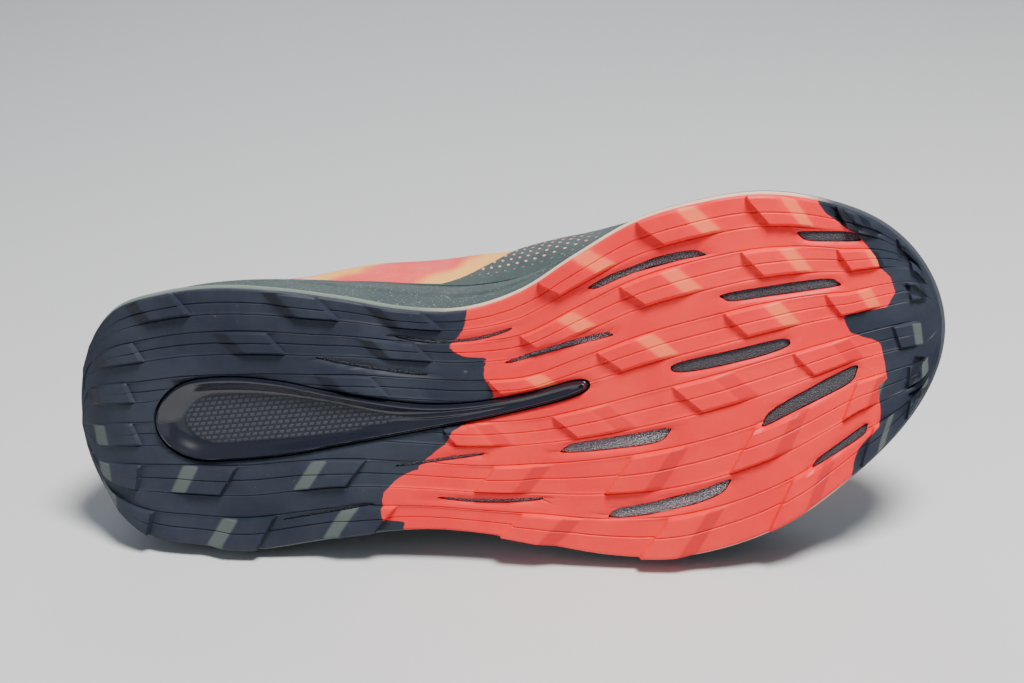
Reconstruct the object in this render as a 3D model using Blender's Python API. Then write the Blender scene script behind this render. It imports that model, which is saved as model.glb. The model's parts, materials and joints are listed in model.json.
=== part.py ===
"""Trail running shoe for the left foot, empty, lying on its outer side. Metres, +Z up.

The shoe is worked out standing: x runs from the heel to the toe, y to the outer side,
z up from the tread. An empty then lays the finished pieces down on their outer side.
"""
import math

import bmesh
import bpy
import numpy as np
from mathutils import Matrix

for old in list(bpy.data.objects):
    bpy.data.objects.remove(old, do_unlink=True)

# Driving sizes
SOLE_LENGTH = 0.293
BALL_WIDTH = 0.110
RIM_HEIGHT = 0.040
COLLAR_HEIGHT = 0.098
TOE_SPRING = 0.022
HEEL_BEVEL = 0.010
ARCH_LIFT = 0.004
ARCH_FLARE = 0.008
BULGE = 0.010
RUBBER = 0.0024
TREAD_STEP = 0.0026
LUG_LENGTH = 0.0200
LUG_TOP = 0.0125
WALL_RUN = 0.0009
PLATE_THICKNESS = 0.0012
PLATE_INSET = 0.012
DISH_DEPTH = 0.0030
DISH_SLOPE = 0.0048
BEAD = 0.0007
BEAD_HEIGHT = 0.0026
CUP_DEPTH = 0.010
RIM_LIP = 0.0024
RIM_LEAN = 0.0022
CUP_DRAFT = 0.0026
INSOLE_THICKNESS = 0.004
UPPER_WALL = 0.0020
OVERLAY = 0.0012
CUFF_PAD = 0.0062
CUFF_ROLL = 0.0020
TONGUE_THICKNESS = 0.0042
TONGUE_EDGE = 0.0016
TONGUE_CROWN = 0.0030
TONGUE_RISE = 0.022
TONGUE_CURL = 0.007
LACE_WIDTH = 0.0062
LACE_THICKNESS = 0.0016
LACE_CLEARANCE = 0.0010
GAP = 0.0003

# Where the heel bevel ends and the toe spring begins, and the middle of the arch, along
HEEL_BEVEL_END = 0.13
TOE_SPRING_START = 0.72
ARCH_MIDDLE = 0.46
ARCH_REACH = 0.20

# How finely the pieces are faceted: stations from heel to toe, and those between eyelets
STATIONS = 36
EYELETS = 6
EYELET_STATIONS = 2

# Sole sections: half-widths are shares of BALL_WIDTH, rim and cup of RIM_HEIGHT and
# CUP_DEPTH, and the flare of the rim beyond the tread of ARCH_FLARE
SOLE_COLUMNS = ("along", "inner", "outer", "rim", "cup", "inner_flare", "outer_flare")
SOLE = [
    (0.000, 0.000, 0.000, 1.02, 1.00, 0.00, 0.00),
    (0.070, 0.345, 0.350, 1.00, 1.00, -0.10, -0.30),
    (0.140, 0.388, 0.400, 0.98, 1.00, -0.10, -0.45),
    (0.205, 0.388, 0.425, 0.96, 0.98, 0.00, -0.50),
    (0.275, 0.360, 0.413, 0.94, 0.95, 0.25, -0.45),
    (0.345, 0.315, 0.400, 0.92, 0.92, 0.60, -0.30),
    (0.415, 0.262, 0.402, 0.90, 0.88, 0.95, -0.15),
    (0.480, 0.242, 0.430, 0.87, 0.84, 1.00, -0.05),
    (0.550, 0.280, 0.478, 0.83, 0.80, 0.70, 0.00),
    (0.615, 0.365, 0.520, 0.78, 0.76, 0.25, 0.00),
    (0.685, 0.448, 0.541, 0.74, 0.72, 0.05, 0.00),
    (0.750, 0.482, 0.520, 0.72, 0.70, 0.00, 0.00),
    (0.820, 0.488, 0.462, 0.72, 0.68, 0.00, 0.00),
    (0.885, 0.445, 0.362, 0.76, 0.64, 0.00, 0.00),
    (0.950, 0.345, 0.225, 0.86, 0.66, 0.00, 0.00),
    (1.000, 0.055, -0.055, 0.99, 0.70, 0.00, 0.00),
]

# Upper sections, one for each rib that climbs from the rim to the edge of the opening:
# where it starts along the rim, where it ends along, across and up, how far each side
# swells, how straight it runs, and the shares taken by the rand and the eyestay
UPPER_COLUMNS = ("start", "along", "across", "up", "inner_swell", "outer_swell",
                 "straight", "rand", "stay")
UPPER = [
    (0.00, 0.032, 0.000, 1.000, 0.22, 0.22, 0.85, 0.34, 0.22),
    (0.03, 0.048, 0.130, 0.985, 0.18, 0.15, 0.85, 0.34, 0.22),
    (0.10, 0.100, 0.245, 0.915, 0.12, 0.08, 0.84, 0.34, 0.22),
    (0.18, 0.175, 0.285, 0.845, 0.16, 0.05, 0.82, 0.28, 0.24),
    (0.26, 0.250, 0.290, 0.820, 0.36, 0.05, 0.80, 0.08, 0.26),
    (0.34, 0.320, 0.260, 0.850, 0.80, 0.08, 0.72, 0.07, 0.26),
    (0.42, 0.385, 0.200, 0.905, 1.10, 0.12, 0.58, 0.07, 0.24),
    (0.50, 0.440, 0.160, 0.900, 1.34, 0.15, 0.46, 0.18, 0.24),
    (0.58, 0.500, 0.145, 0.845, 1.25, 0.16, 0.38, 0.34, 0.24),
    (0.66, 0.560, 0.135, 0.785, 0.75, 0.18, 0.34, 0.40, 0.24),
    (0.74, 0.610, 0.128, 0.730, 0.28, 0.15, 0.30, 0.40, 0.23),
    (0.82, 0.650, 0.118, 0.690, 0.16, 0.15, 0.26, 0.38, 0.22),
    (0.90, 0.680, 0.095, 0.660, 0.16, 0.16, 0.24, 0.40, 0.20),
    (0.97, 0.698, 0.050, 0.640, 0.18, 0.18, 0.24, 0.42, 0.18),
    (1.00, 0.700, 0.000, 0.635, 0.18, 0.18, 0.24, 0.44, 0.18),
]

# The heel window, a drop that runs out into a slot: shares of SOLE_LENGTH and BALL_WIDTH
WINDOW_COLUMNS = ("along", "middle", "half")
WINDOW = [
    (0.106, 0.008, 0.000),
    (0.120, 0.008, 0.080),
    (0.150, 0.008, 0.125),
    (0.205, 0.012, 0.132),
    (0.265, 0.025, 0.117),
    (0.320, 0.041, 0.088),
    (0.375, 0.054, 0.062),
    (0.430, 0.062, 0.041),
    (0.475, 0.060, 0.032),
    (0.530, 0.046, 0.027),
    (0.600, 0.014, 0.025),
    (0.613, 0.008, 0.018),
    (0.618, 0.006, 0.000),
]
WINDOW_STEPS = 18
# An inset outline moves in by at most this share of the drop's half width, and at least this
# share of the inset
DROP_KEEP = 0.8
DROP_LEAST = 0.15

# The slits through the rubber: both ends, half width, how far the middle bows, and the
# width of the heel end as a share of the toe end's
SLIT_COLUMNS = ("from_along", "from_across", "to_along", "to_across", "half", "bow", "taper")
SLITS = [
    (0.625, -0.268, 0.762, -0.347, 0.0165, -0.018, 0.45),
    (0.765, -0.204, 0.900, -0.212, 0.0165, -0.004, 0.90),
    (0.853, -0.358, 0.925, -0.330, 0.0150, 0.000, 1.00),
    (0.700, -0.014, 0.845, -0.062, 0.0200, 0.004, 1.00),
    (0.792, 0.170, 0.912, 0.048, 0.0240, -0.004, 0.85),
    (0.843, 0.314, 0.914, 0.215, 0.0150, 0.000, 0.60),
    (0.570, 0.192, 0.706, 0.172, 0.0240, 0.004, 0.60),
    (0.615, 0.398, 0.765, 0.335, 0.0240, 0.016, 0.60),
    (0.522, -0.074, 0.652, -0.140, 0.0110, -0.004, 0.50),
    (0.400, -0.188, 0.540, -0.178, 0.0060, 0.030, 0.60),
    (0.308, -0.152, 0.437, -0.062, 0.0052, 0.006, 0.80),
    (0.383, 0.202, 0.491, 0.187, 0.0055, 0.000, 0.80),
    (0.427, 0.307, 0.553, 0.336, 0.0062, 0.010, 0.80),
    (0.243, 0.338, 0.352, 0.311, 0.0045, 0.000, 0.60),
]
# A slit's corners, along as shares of half its length and across of half its width
SLIT_CORNERS = [(-1, 0.5), (-0.86, 1), (0, 1), (0.86, 1), (1, 0.5),
                (1, -0.5), (0.86, -1), (0, -1), (-0.86, -1), (-1, -0.5)]

# Bands of lugs from the inner edge to the outer: middle and half width as shares of half the
# sole's width, how far the lugs stand out, and where along the length their walls are. A wall
# faces the toe at the heel and back under the forefoot.
BAND_COLUMNS = ("middle", "half", "stand", "heel_1", "heel_2", "heel_3",
                "ball_1", "ball_2", "ball_3", "ball_4")
BANDS = [
    (-0.910, 0.090, 1.00, 0.162, 0.333, 0.449, 0.585, 0.703, 0.819, 0.906),
    (-0.600, 0.090, 0.85, 0.099, 0.266, 0.433, 0.556, 0.676, 0.807, 0.903),
    (-0.265, 0.090, 0.70, 0.080, 0.205, 0.379, 0.512, 0.642, 0.783, 0.887),
    (0.090, 0.100, 0.60, 0.080, 0.239, 0.362, 0.447, 0.584, 0.722, 0.850),
    (0.470, 0.120, 0.80, 0.075, 0.188, 0.340, 0.485, 0.637, 0.776, 0.894),
    (0.880, 0.120, 1.00, 0.082, 0.225, 0.369, 0.510, 0.669, 0.811, 0.908),
]
# The bands run from start to end; a run longer than this gets a row halfway. The lanes
# between them stand out a little, and a wall leans this far along for each step across.
TREAD_START = 0.03
TREAD_END = 0.97
LONGEST_RUN = 0.075
LANE_STAND = 0.15
WALL_LEAN = 0.95
# Where a lug's slope starts and ends behind its wall, and where its top and slope end ahead
# of it, as the most that they take of the room between two walls
SLOPE_START = 0.80
SLOPE_END = 0.50
TOP_END = 0.38
SLOPE_FOOT = 0.60


def column(table, columns, name):
    """One named column of a table."""
    return np.array([row[columns.index(name)] for row in table], float)


def turn(share):
    """Angle of a share of the length, so that even angles crowd at heel and toe."""
    return np.arccos(np.clip(1 - 2 * np.asarray(share, float), -1, 1))


def smooth(knots, values, at):
    """Cubic through the knots, its slope at each the mean of the two chords there."""
    chord = np.diff(values) / np.diff(knots)
    inside = (chord[1:] + chord[:-1]) / 2
    slope = np.concatenate([chord[:1], inside, chord[-1:]])
    cell = np.clip(np.searchsorted(knots, at) - 1, 0, len(knots) - 2)
    span = knots[cell + 1] - knots[cell]
    s = (at - knots[cell]) / span
    start = (1 + 2 * s) * (1 - s) ** 2 * values[cell] + s * (1 - s) ** 2 * span * slope[cell]
    end = s * s * (3 - 2 * s) * values[cell + 1] + s * s * (s - 1) * span * slope[cell + 1]
    return start + end


def sole_value(name, share):
    """A column of the sole table at shares of the length."""
    knots = turn(column(SOLE, SOLE_COLUMNS, "along"))
    return smooth(knots, column(SOLE, SOLE_COLUMNS, name), turn(share))


def ground(share, side):
    """Height of the tread above the flat, with heel bevel, arch and toe spring.

    side runs from -1 on the inner edge to 1 on the outer edge.
    """
    heel = HEEL_BEVEL * (np.clip(HEEL_BEVEL_END - share, 0, 1) / HEEL_BEVEL_END) ** 2
    toe_run = np.clip(share - TOE_SPRING_START, 0, None) / (1 - TOE_SPRING_START)
    reach = np.clip(1 - ((share - ARCH_MIDDLE) / ARCH_REACH) ** 2, 0, 1)
    return heel + TOE_SPRING * toe_run**2 + ARCH_LIFT * reach**2 * (1 - side) / 2


def ground_at(plan):
    """Height of the tread under points given by x and y, straight from side to side."""
    share = plan[:, 0] / SOLE_LENGTH
    inner = -BALL_WIDTH * sole_value("inner", share)
    width = BALL_WIDTH * sole_value("outer", share) - inner
    side = 2 * (plan[:, 1] - inner) / np.maximum(width, BEAD) - 1
    return ground(share, np.clip(side, -1, 1))


# Loop stations: heel tip, along the outer side to the toe tip, and back on the inner side
LOOP = 2 * STATIONS
HALF_TURN = np.linspace(0, math.pi, STATIONS + 1)
LOOP_TURN = np.concatenate([HALF_TURN, HALF_TURN[-2:0:-1]])
LOOP_SHARE = (1 - np.cos(LOOP_TURN)) / 2
LOOP_SIDE = np.ones(LOOP)
LOOP_SIDE[STATIONS + 1:] = -1
LOOP_SIDE[[0, STATIONS]] = 0


def either_side(inner, outer):
    """Values along the loop from an inner and an outer array."""
    return np.where(LOOP_SIDE < 0, inner, outer)


def outline():
    """Plan of the tread's edge, one point for each loop station."""
    inner = -BALL_WIDTH * sole_value("inner", LOOP_SHARE)
    outer = BALL_WIDTH * sole_value("outer", LOOP_SHARE)
    return np.stack([SOLE_LENGTH * LOOP_SHARE, either_side(inner, outer)], -1)


EDGE = outline()
EDGE_RUN = np.roll(EDGE, -1, 0) - np.roll(EDGE, 1, 0)
EDGE_OUT = np.stack([-EDGE_RUN[:, 1], EDGE_RUN[:, 0]], -1)
EDGE_OUT /= np.linalg.norm(EDGE_OUT, axis=1)[:, None]
FLARE = ARCH_FLARE * either_side(
    sole_value("inner_flare", LOOP_SHARE), sole_value("outer_flare", LOOP_SHARE))
SHEET = TREAD_STEP + RUBBER
RIM = RIM_HEIGHT * sole_value("rim", LOOP_SHARE)
FOOTBED = RIM - CUP_DEPTH * sole_value("cup", LOOP_SHARE)


def ring(inset, height):
    """The tread's outline moved in by inset, at a height for each station."""
    plan = EDGE - EDGE_OUT * (inset * np.ones(LOOP))[:, None]
    return np.column_stack([plan, height])


def sheet_ring(inset, above):
    """The tread's outline moved in by inset, at a height above the tread."""
    plan = EDGE - EDGE_OUT * (inset * np.ones(LOOP))[:, None]
    return np.column_stack([plan, ground_at(plan) + above])


def finish(name, vertices, faces, material):
    """A named solid from vertices and faces, its faces turned outwards."""
    mesh = bpy.data.meshes.new(name)
    mesh.from_pydata([tuple(v) for v in np.asarray(vertices, float)], [], faces)
    shape = bmesh.new()
    shape.from_mesh(mesh)
    bmesh.ops.recalc_face_normals(shape, faces=shape.faces)
    shape.to_mesh(mesh)
    shape.free()
    mesh.shade_smooth()
    mesh.set_sharp_from_angle(angle=math.radians(35))
    mesh.materials.append(material)
    solid = bpy.data.objects.new(name, mesh)
    bpy.context.collection.objects.link(solid)
    return solid


def colour(name, rgb, roughness, metallic=0.0):
    """A Principled material of one colour."""
    material = bpy.data.materials.new(name)
    material.use_nodes = True
    shader = material.node_tree.nodes["Principled BSDF"]
    shader.inputs["Base Color"].default_value = (*rgb, 1)
    shader.inputs["Roughness"].default_value = roughness
    shader.inputs["Metallic"].default_value = metallic
    return material


def strip(first, second, closed=True):
    """Triangles between two rows of vertex numbers, always split the same way."""
    count = len(first)
    last = count if closed else count - 1
    faces = []
    for k in range(last):
        n = (k + 1) % count
        faces.append((first[k], first[n], second[n]))
        faces.append((first[k], second[n], second[k]))
    return faces


def ladder(loop):
    """Triangles that close a loop of stations, straight across from side to side."""
    half = len(loop) // 2
    outer = [loop[k] for k in range(1, half)]
    inner = [loop[-k] for k in range(1, half)]
    faces = strip(outer, inner, closed=False)
    faces.append((loop[0], outer[0], inner[0]))
    faces.append((loop[half], outer[-1], inner[-1]))
    return faces


def stack(name, rings, material):
    """A solid skinned over rings of equal count and closed by a ladder at both ends."""
    count = len(rings[0])
    rows = [list(range(i * count, (i + 1) * count)) for i in range(len(rings))]
    faces = ladder(rows[0]) + ladder(rows[-1])
    for lower, higher in zip(rows, rows[1:]):
        faces += strip(lower, higher)
    return finish(name, np.concatenate(rings), faces, material)


def wall(name, outside, inside, material, closed=True):
    """A wall between two grids of rows by stations, closed all round its edges."""
    rows, count = outside.shape[:2]
    numbers = np.arange(2 * rows * count).reshape(2, rows, count).tolist()
    faces = []
    for skin in numbers:
        for lower, higher in zip(skin, skin[1:]):
            faces += strip(lower, higher, closed)
    for row in (0, rows - 1):
        faces += strip(numbers[0][row], numbers[1][row], closed)
    if not closed:
        for end in (0, count - 1):
            front = [numbers[0][row][end] for row in range(rows)]
            back = [numbers[1][row][end] for row in range(rows)]
            faces += strip(front, back, closed=False)
    vertices = np.concatenate([outside.reshape(-1, 3), inside.reshape(-1, 3)])
    return finish(name, vertices, faces, material)


def hidden(guide):
    """The same object, kept only as a guide."""
    guide.hide_render = True
    guide.display_type = "WIRE"
    return guide


def cut(solid, guide, operation):
    """Boolean of a solid with a guide."""
    step = solid.modifiers.new(operation.lower(), "BOOLEAN")
    step.operation = operation
    step.solver = "EXACT"
    step.object = guide


def facing(grid, closed=True):
    """Unit normals of a grid of rows by stations, pointing away from the foot."""
    if closed:
        along = np.roll(grid, -1, 1) - np.roll(grid, 1, 1)
    else:
        along = np.gradient(grid, axis=1)
    normal = np.cross(np.gradient(grid, axis=0), along)
    normal /= np.linalg.norm(normal, axis=2, keepdims=True)
    return normal


# Outsole: one moulded rubber sheet with lugs in six bands, slits and a window
def band_value(name):
    """One column of the bands."""
    return column(BANDS, BAND_COLUMNS, name)


def lug_lines():
    """Shares of the length and stands of the lines across, a row each, a column for each band.

    At the heel a lug slopes up, runs level and drops at its wall. Under the forefoot it
    starts with its wall, runs level and slopes down towards the toe. A long run gets a row
    halfway, so that it follows the arch.
    """
    wall_run = WALL_RUN / SOLE_LENGTH
    lug = LUG_LENGTH / SOLE_LENGTH
    top = LUG_TOP / SOLE_LENGTH
    start = np.full(len(BANDS), TREAD_START)
    end = np.full(len(BANDS), TREAD_END)
    shares, stands = [start], [0.0]
    last = start
    for name in ("heel_1", "heel_2", "heel_3"):
        at = band_value(name)
        room = at - last
        shares += [at - np.minimum(lug, SLOPE_START * room), at - np.minimum(top, SLOPE_END * room),
                   at - wall_run, at]
        stands += [0.0, 1.0, 1.0, 0.0]
        last = at
    walls = [band_value(name) for name in ("ball_1", "ball_2", "ball_3", "ball_4")] + [end]
    for at, after in zip(walls, walls[1:]):
        room = after - at
        shares += [at, at + wall_run, at + np.minimum(top, TOP_END * room),
                   at + np.minimum(lug, SLOPE_FOOT * room)]
        stands += [0.0, 1.0, 1.0, 0.0]
    shares.append(end)
    stands.append(0.0)
    longest = np.diff(shares, axis=0).max(1)
    for row in reversed(np.flatnonzero(longest > LONGEST_RUN)):
        shares.insert(row + 1, (shares[row] + shares[row + 1]) / 2)
        stands.insert(row + 1, (stands[row] + stands[row + 1]) / 2)
    return np.array(shares), np.array(stands)


def tread_grid():
    """Shares of the length, places across and stands: both edges of each band, lanes between."""
    lines, stands = lug_lines()
    reach = BALL_WIDTH * (sole_value("inner", lines) + sole_value("outer", lines)) / 2
    lean = -np.sign(band_value("middle") - band_value("half")) * WALL_LEAN * np.sin(turn(lines))
    shift = lean * band_value("half") * reach / SOLE_LENGTH
    shares, places, heights = [], [], []
    for band in range(len(BANDS)):
        for side in (-1, 1):
            shares.append(lines[:, band] + side * shift[:, band])
            places.append(band_value("middle")[band] + side * band_value("half")[band])
            heights.append(stands * band_value("stand")[band])
    for gap in range(len(BANDS) - 1, 0, -1):
        near, far = 2 * gap - 1, 2 * gap
        shares.insert(far, (shares[near] + shares[far]) / 2)
        places.insert(far, (places[near] + places[far]) / 2)
        heights.insert(far, stands * LANE_STAND)
    return np.array(shares).T, np.array(places), np.array(heights).T


def tread(material):
    """The lugs as a guide: a grid of rows by places with both tips, and its back in the sheet."""
    share, places, stand = tread_grid()
    inner = BEAD - BALL_WIDTH * sole_value("inner", share)
    outer = BALL_WIDTH * sole_value("outer", share) - BEAD
    across = inner + (outer - inner) * (places + 1) / 2
    run = SOLE_LENGTH - 2 * BEAD
    tips = np.array([0.0, 1.0])
    plan = np.concatenate([
        np.stack([BEAD + run * share, across], -1).reshape(-1, 2),
        np.column_stack([BEAD + run * tips, BALL_WIDTH * sole_value("outer", tips)]),
    ])
    level = np.append(ground(share, places), ground(tips, 0.0)) + TREAD_STEP
    front = np.column_stack([plan, level - TREAD_STEP * np.append(stand, 0 * tips)])
    back = np.column_stack([plan, level + RUBBER * 3 / 4])
    rows, lanes = share.shape
    faces = []
    edges = []
    for first in (0, len(front)):
        grid = np.arange(first, first + rows * lanes).reshape(rows, lanes).tolist()
        heel_tip = first + rows * lanes
        toe_tip = heel_tip + 1
        for near, far in zip(grid, grid[1:]):
            faces += strip(near, far, closed=False)
        for tip, line in ((heel_tip, grid[0]), (toe_tip, grid[-1])):
            faces += [(tip, a, b) for a, b in zip(line, line[1:])]
        outer_edge = [line[-1] for line in grid]
        inner_edge = [line[0] for line in reversed(grid)]
        edges.append([heel_tip, *outer_edge, toe_tip, *inner_edge])
    faces += strip(*edges)
    return hidden(finish("tread_guide", np.concatenate([front, back]), faces, material))


def outsole(material):
    """The rubber sheet, a bead wider than its tread, with window and slits cut out."""
    sheet = stack("outsole", [
        sheet_ring(0, TREAD_STEP + RUBBER / 4),
        sheet_ring(0, SHEET),
    ], material)
    cut(sheet, tread(material), "UNION")
    cut(sheet, cutter(material), "DIFFERENCE")
    return sheet


def drop(inset):
    """Outline of the heel window moved in by inset, from its round end and back."""
    knots = column(WINDOW, WINDOW_COLUMNS, "along")
    middle = BALL_WIDTH * column(WINDOW, WINDOW_COLUMNS, "middle")
    half = BALL_WIDTH * column(WINDOW, WINDOW_COLUMNS, "half")
    start, end = knots[0], knots[-1]
    angles = np.linspace(0, math.pi, WINDOW_STEPS + 1)
    share = start + (end - start) * (1 - np.cos(angles)) / 2
    knots = turn((knots - start) / (end - start))
    centre = smooth(knots, middle, angles)
    width = np.clip(smooth(knots, half, angles), 0, None)
    width[[0, -1]] = 0
    one = np.column_stack([SOLE_LENGTH * share, centre + width])
    other = np.column_stack([SOLE_LENGTH * share, centre - width])
    loop = np.concatenate([one, other[-2:0:-1]])
    run = np.roll(loop, -1, 0) - np.roll(loop, 1, 0)
    out = np.stack([-run[:, 1], run[:, 0]], -1)
    out /= np.linalg.norm(out, axis=1)[:, None]
    thin = np.concatenate([width, width[-2:0:-1]])
    limit = np.minimum(inset, np.maximum(thin * DROP_KEEP, inset * DROP_LEAST))
    limit[[0, WINDOW_STEPS]] = min(inset, DROP_KEEP * max(width))
    return loop - out * limit[:, None]


def slit(row):
    """Outline of one slit: a tapered bar with cut corners along a bowed line, and sheared."""
    value = dict(zip(SLIT_COLUMNS, row))
    start = np.array([value["from_along"] * SOLE_LENGTH, value["from_across"] * BALL_WIDTH])
    end = np.array([value["to_along"] * SOLE_LENGTH, value["to_across"] * BALL_WIDTH])
    length = np.linalg.norm(end - start)
    along = (end - start) / length
    across = np.array([-along[1], along[0]])
    u, v = np.array(SLIT_CORNERS, float).T
    widest = value["half"] * BALL_WIDTH
    half = widest * (value["taper"] + (1 - value["taper"]) * (u + 1) / 2)
    place = (length / 2 - widest) * u - np.sign(start[1] + end[1]) * widest * v
    bow = value["bow"] * BALL_WIDTH * (1 - u**2)
    return (start + end) / 2 + place[:, None] * along + (v * half + bow)[:, None] * across


def cutter(material):
    """One guide with a prism for the window and one for each slit."""
    vertices = []
    faces = []
    for plan in [drop(0.0)] + [slit(row) for row in SLITS]:
        count = len(plan)
        first = len(vertices)
        for level in (-RIM_HEIGHT, RIM_HEIGHT + TOE_SPRING):
            vertices += [(x, y, level) for x, y in plan]
        low = list(range(first, first + count))
        high = list(range(first + count, first + 2 * count))
        faces += [tuple(low), tuple(high)]
        faces += [(low[k - 1], low[k], high[k], high[k - 1]) for k in range(count)]
    return hidden(finish("slit_guide", vertices, faces, material))


# Plate: a thin sheet seen through the slits, dished down into the window
def plate(material):
    sheet = stack("plate", [
        sheet_ring(PLATE_INSET, SHEET + GAP),
        sheet_ring(PLATE_INSET, SHEET + GAP + PLATE_THICKNESS),
    ], material)
    rise = SHEET + GAP + PLATE_THICKNESS / 2
    lip = rise - DISH_DEPTH - GAP
    levels = [
        (DISH_SLOPE, lip + DISH_DEPTH / 2),
        (2 * GAP + BEAD_HEIGHT / 2, lip),
        (2 * GAP, lip + GAP),
        (2 * GAP, rise),
    ]
    rings = []
    for inset, level in levels:
        plan = drop(inset)
        rings.append(np.column_stack([plan, ground_at(plan) + level]))
    cut(sheet, hidden(stack("plate_dish_guide", rings, material)), "UNION")
    return sheet


# Midsole: foam with a bead at the rubber, a stepped side and a cup for the foot
def midsole(material):
    bottom = SHEET + GAP
    base = sheet_ring(0, bottom)[:, 2]
    side = RIM - base
    lip = RIM_LEAN + RIM_LIP - FLARE
    rings = [
        sheet_ring(PLATE_INSET - GAP, bottom + PLATE_THICKNESS + GAP),
        sheet_ring(PLATE_INSET - GAP, bottom),
        sheet_ring(-BEAD, bottom),
        sheet_ring(-BEAD, bottom + BEAD_HEIGHT),
        ring(BEAD, base + BEAD_HEIGHT + BEAD),
        ring(-0.35 * FLARE, base + 0.45 * side),
        ring(-0.75 * FLARE - BEAD, base + 0.72 * side),
        ring(RIM_LEAN - FLARE, RIM),
        ring(lip, RIM),
        ring(lip + CUP_DRAFT, FOOTBED),
    ]
    return stack("midsole", rings, material)


def insole(material):
    inset = RIM_LEAN + RIM_LIP - FLARE + CUP_DRAFT + UPPER_WALL + 3 * GAP
    return stack("insole", [
        ring(inset, FOOTBED + GAP),
        ring(inset, FOOTBED + GAP + INSOLE_THICKNESS),
    ], material)


# Upper: ribs that climb from the footbed past the rim to the edge of the opening
def upper_value(name):
    """A column of the upper table at each loop station."""
    knots = turn(column(UPPER, UPPER_COLUMNS, "start"))
    return smooth(knots, column(UPPER, UPPER_COLUMNS, name), LOOP_TURN)


def opening_edge():
    """The edge of collar and throat, one point for each loop station."""
    across = BALL_WIDTH * upper_value("across") * LOOP_SIDE
    return np.column_stack([
        SOLE_LENGTH * upper_value("along"), across, COLLAR_HEIGHT * upper_value("up")])


def upper_skin():
    """Outer skin of the upper as rows by stations.

    A rib is part straight line, part quarter ellipse that leaves the rim upright and
    arrives level, and it swells outwards in the middle.
    """
    inset = RIM_LEAN + RIM_LIP - FLARE + GAP
    foot = ring(inset + CUP_DRAFT, FOOTBED + GAP)
    start = ring(inset, RIM)
    end = opening_edge()
    rand = upper_value("rand")
    stay = 1 - upper_value("stay")
    shares = [0 * rand, rand / 2, rand, rand + (stay - rand) / 3,
              rand + (stay - rand) * 2 / 3, stay, (1 + stay) / 2, 0 * rand + 1]
    straight = upper_value("straight")
    swell = BULGE * either_side(upper_value("inner_swell"), upper_value("outer_swell"))
    rows = [foot]
    for s in shares:
        quarter = s * math.pi / 2
        plan_share = straight * s + (1 - straight) * (1 - np.cos(quarter))
        up_share = straight * s + (1 - straight) * np.sin(quarter)
        push = swell * np.sin(math.pi * s ** 0.85)
        plan = start[:, :2] + (end - start)[:, :2] * plan_share[:, None]
        plan = plan + EDGE_OUT * push[:, None]
        up = start[:, 2] + (end - start)[:, 2] * up_share
        rows.append(np.column_stack([plan, up]))
    return np.stack(rows)


SKIN = upper_skin()
SKIN_OUT = facing(SKIN)
LINING = SKIN - UPPER_WALL * SKIN_OUT
RIM_ROW, RAND_ROW, STAY_ROW, EDGE_ROW = 1, 3, 6, 8
COLLAR_END = int(np.argmin(np.abs(HALF_TURN - turn(0.40))))
VAMP_STATIONS = 6
# The rand's lowest row climbs at most this share of the way to the next
RAND_KEEP = 0.9


def upper(material):
    return wall("upper", SKIN, LINING, material)


def rand(material):
    """A welded band all round, high at heel and toes, clear of the rim by its thickness."""
    rows = slice(RIM_ROW, RAND_ROW + 1)
    lift = SKIN[rows].copy()
    rise = lift[1] - lift[0]
    clear = np.minimum((OVERLAY + 2 * GAP) / rise[:, 2], RAND_KEEP)
    lift[0] += rise * clear[:, None]
    facing_out = SKIN_OUT[rows]
    return wall("rand", lift + (GAP + OVERLAY) * facing_out, lift + GAP * facing_out,
                material)


def eyestay(material):
    """A welded facing round the throat, from top eyelet to top eyelet."""
    rows = slice(STAY_ROW, EDGE_ROW + 1)
    around = slice(COLLAR_END, LOOP - COLLAR_END + 1)
    base = SKIN[rows, around]
    out = SKIN_OUT[rows, around]
    return wall("eyestay", base + (GAP + OVERLAY) * out, base + GAP * out, material, False)


# How full the cuff is up the collar, and how far its rolled top is set in from each face
CUFF_FULLNESS = [0.25, 0.85, 1.0, 0.7]
CUFF_ROUND = 0.25


def cuff(material):
    """Padding inside the collar, fullest in its middle and rolled over at the top."""
    around = np.arange(-COLLAR_END + 2, COLLAR_END - 1)
    rows = slice(STAY_ROW - 1, EDGE_ROW + 1)
    base = LINING[rows][:, around]
    out = SKIN_OUT[rows][:, around]
    rise = LINING[EDGE_ROW][around] - LINING[EDGE_ROW - 1][around]
    rise /= np.linalg.norm(rise, axis=1)[:, None]
    outside = base - GAP * out
    pad = np.array(CUFF_FULLNESS)[:, None, None] * CUFF_PAD
    inside = outside - pad * out
    top = outside[-1:] + CUFF_ROLL * rise - CUFF_ROUND * CUFF_PAD * out[-1:]
    outside = np.concatenate([outside, top])
    inside = np.concatenate([inside, top - CUFF_ROUND * CUFF_PAD * out[-1:]])
    return wall("cuff", outside, inside, material, False)


# Tongue: a padded strip under the throat. Its head stands above the top eyelets: how far up
# each of its lines is, of TONGUE_RISE, and how wide, of the throat. It leans back as it rises.
TONGUE_HEAD = [(1.0, 0.92), (0.5, 0.95), (0.0, 0.86)]
TONGUE_BACK = 0.6
TONGUE_FULLNESS = [0, 0.5, 0.9, 1, 0.9, 0.5, 0]


def under(row, station, clear):
    """A point below the lining at a row and a station."""
    return LINING[row, station] - clear * SKIN_OUT[row, station]


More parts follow.
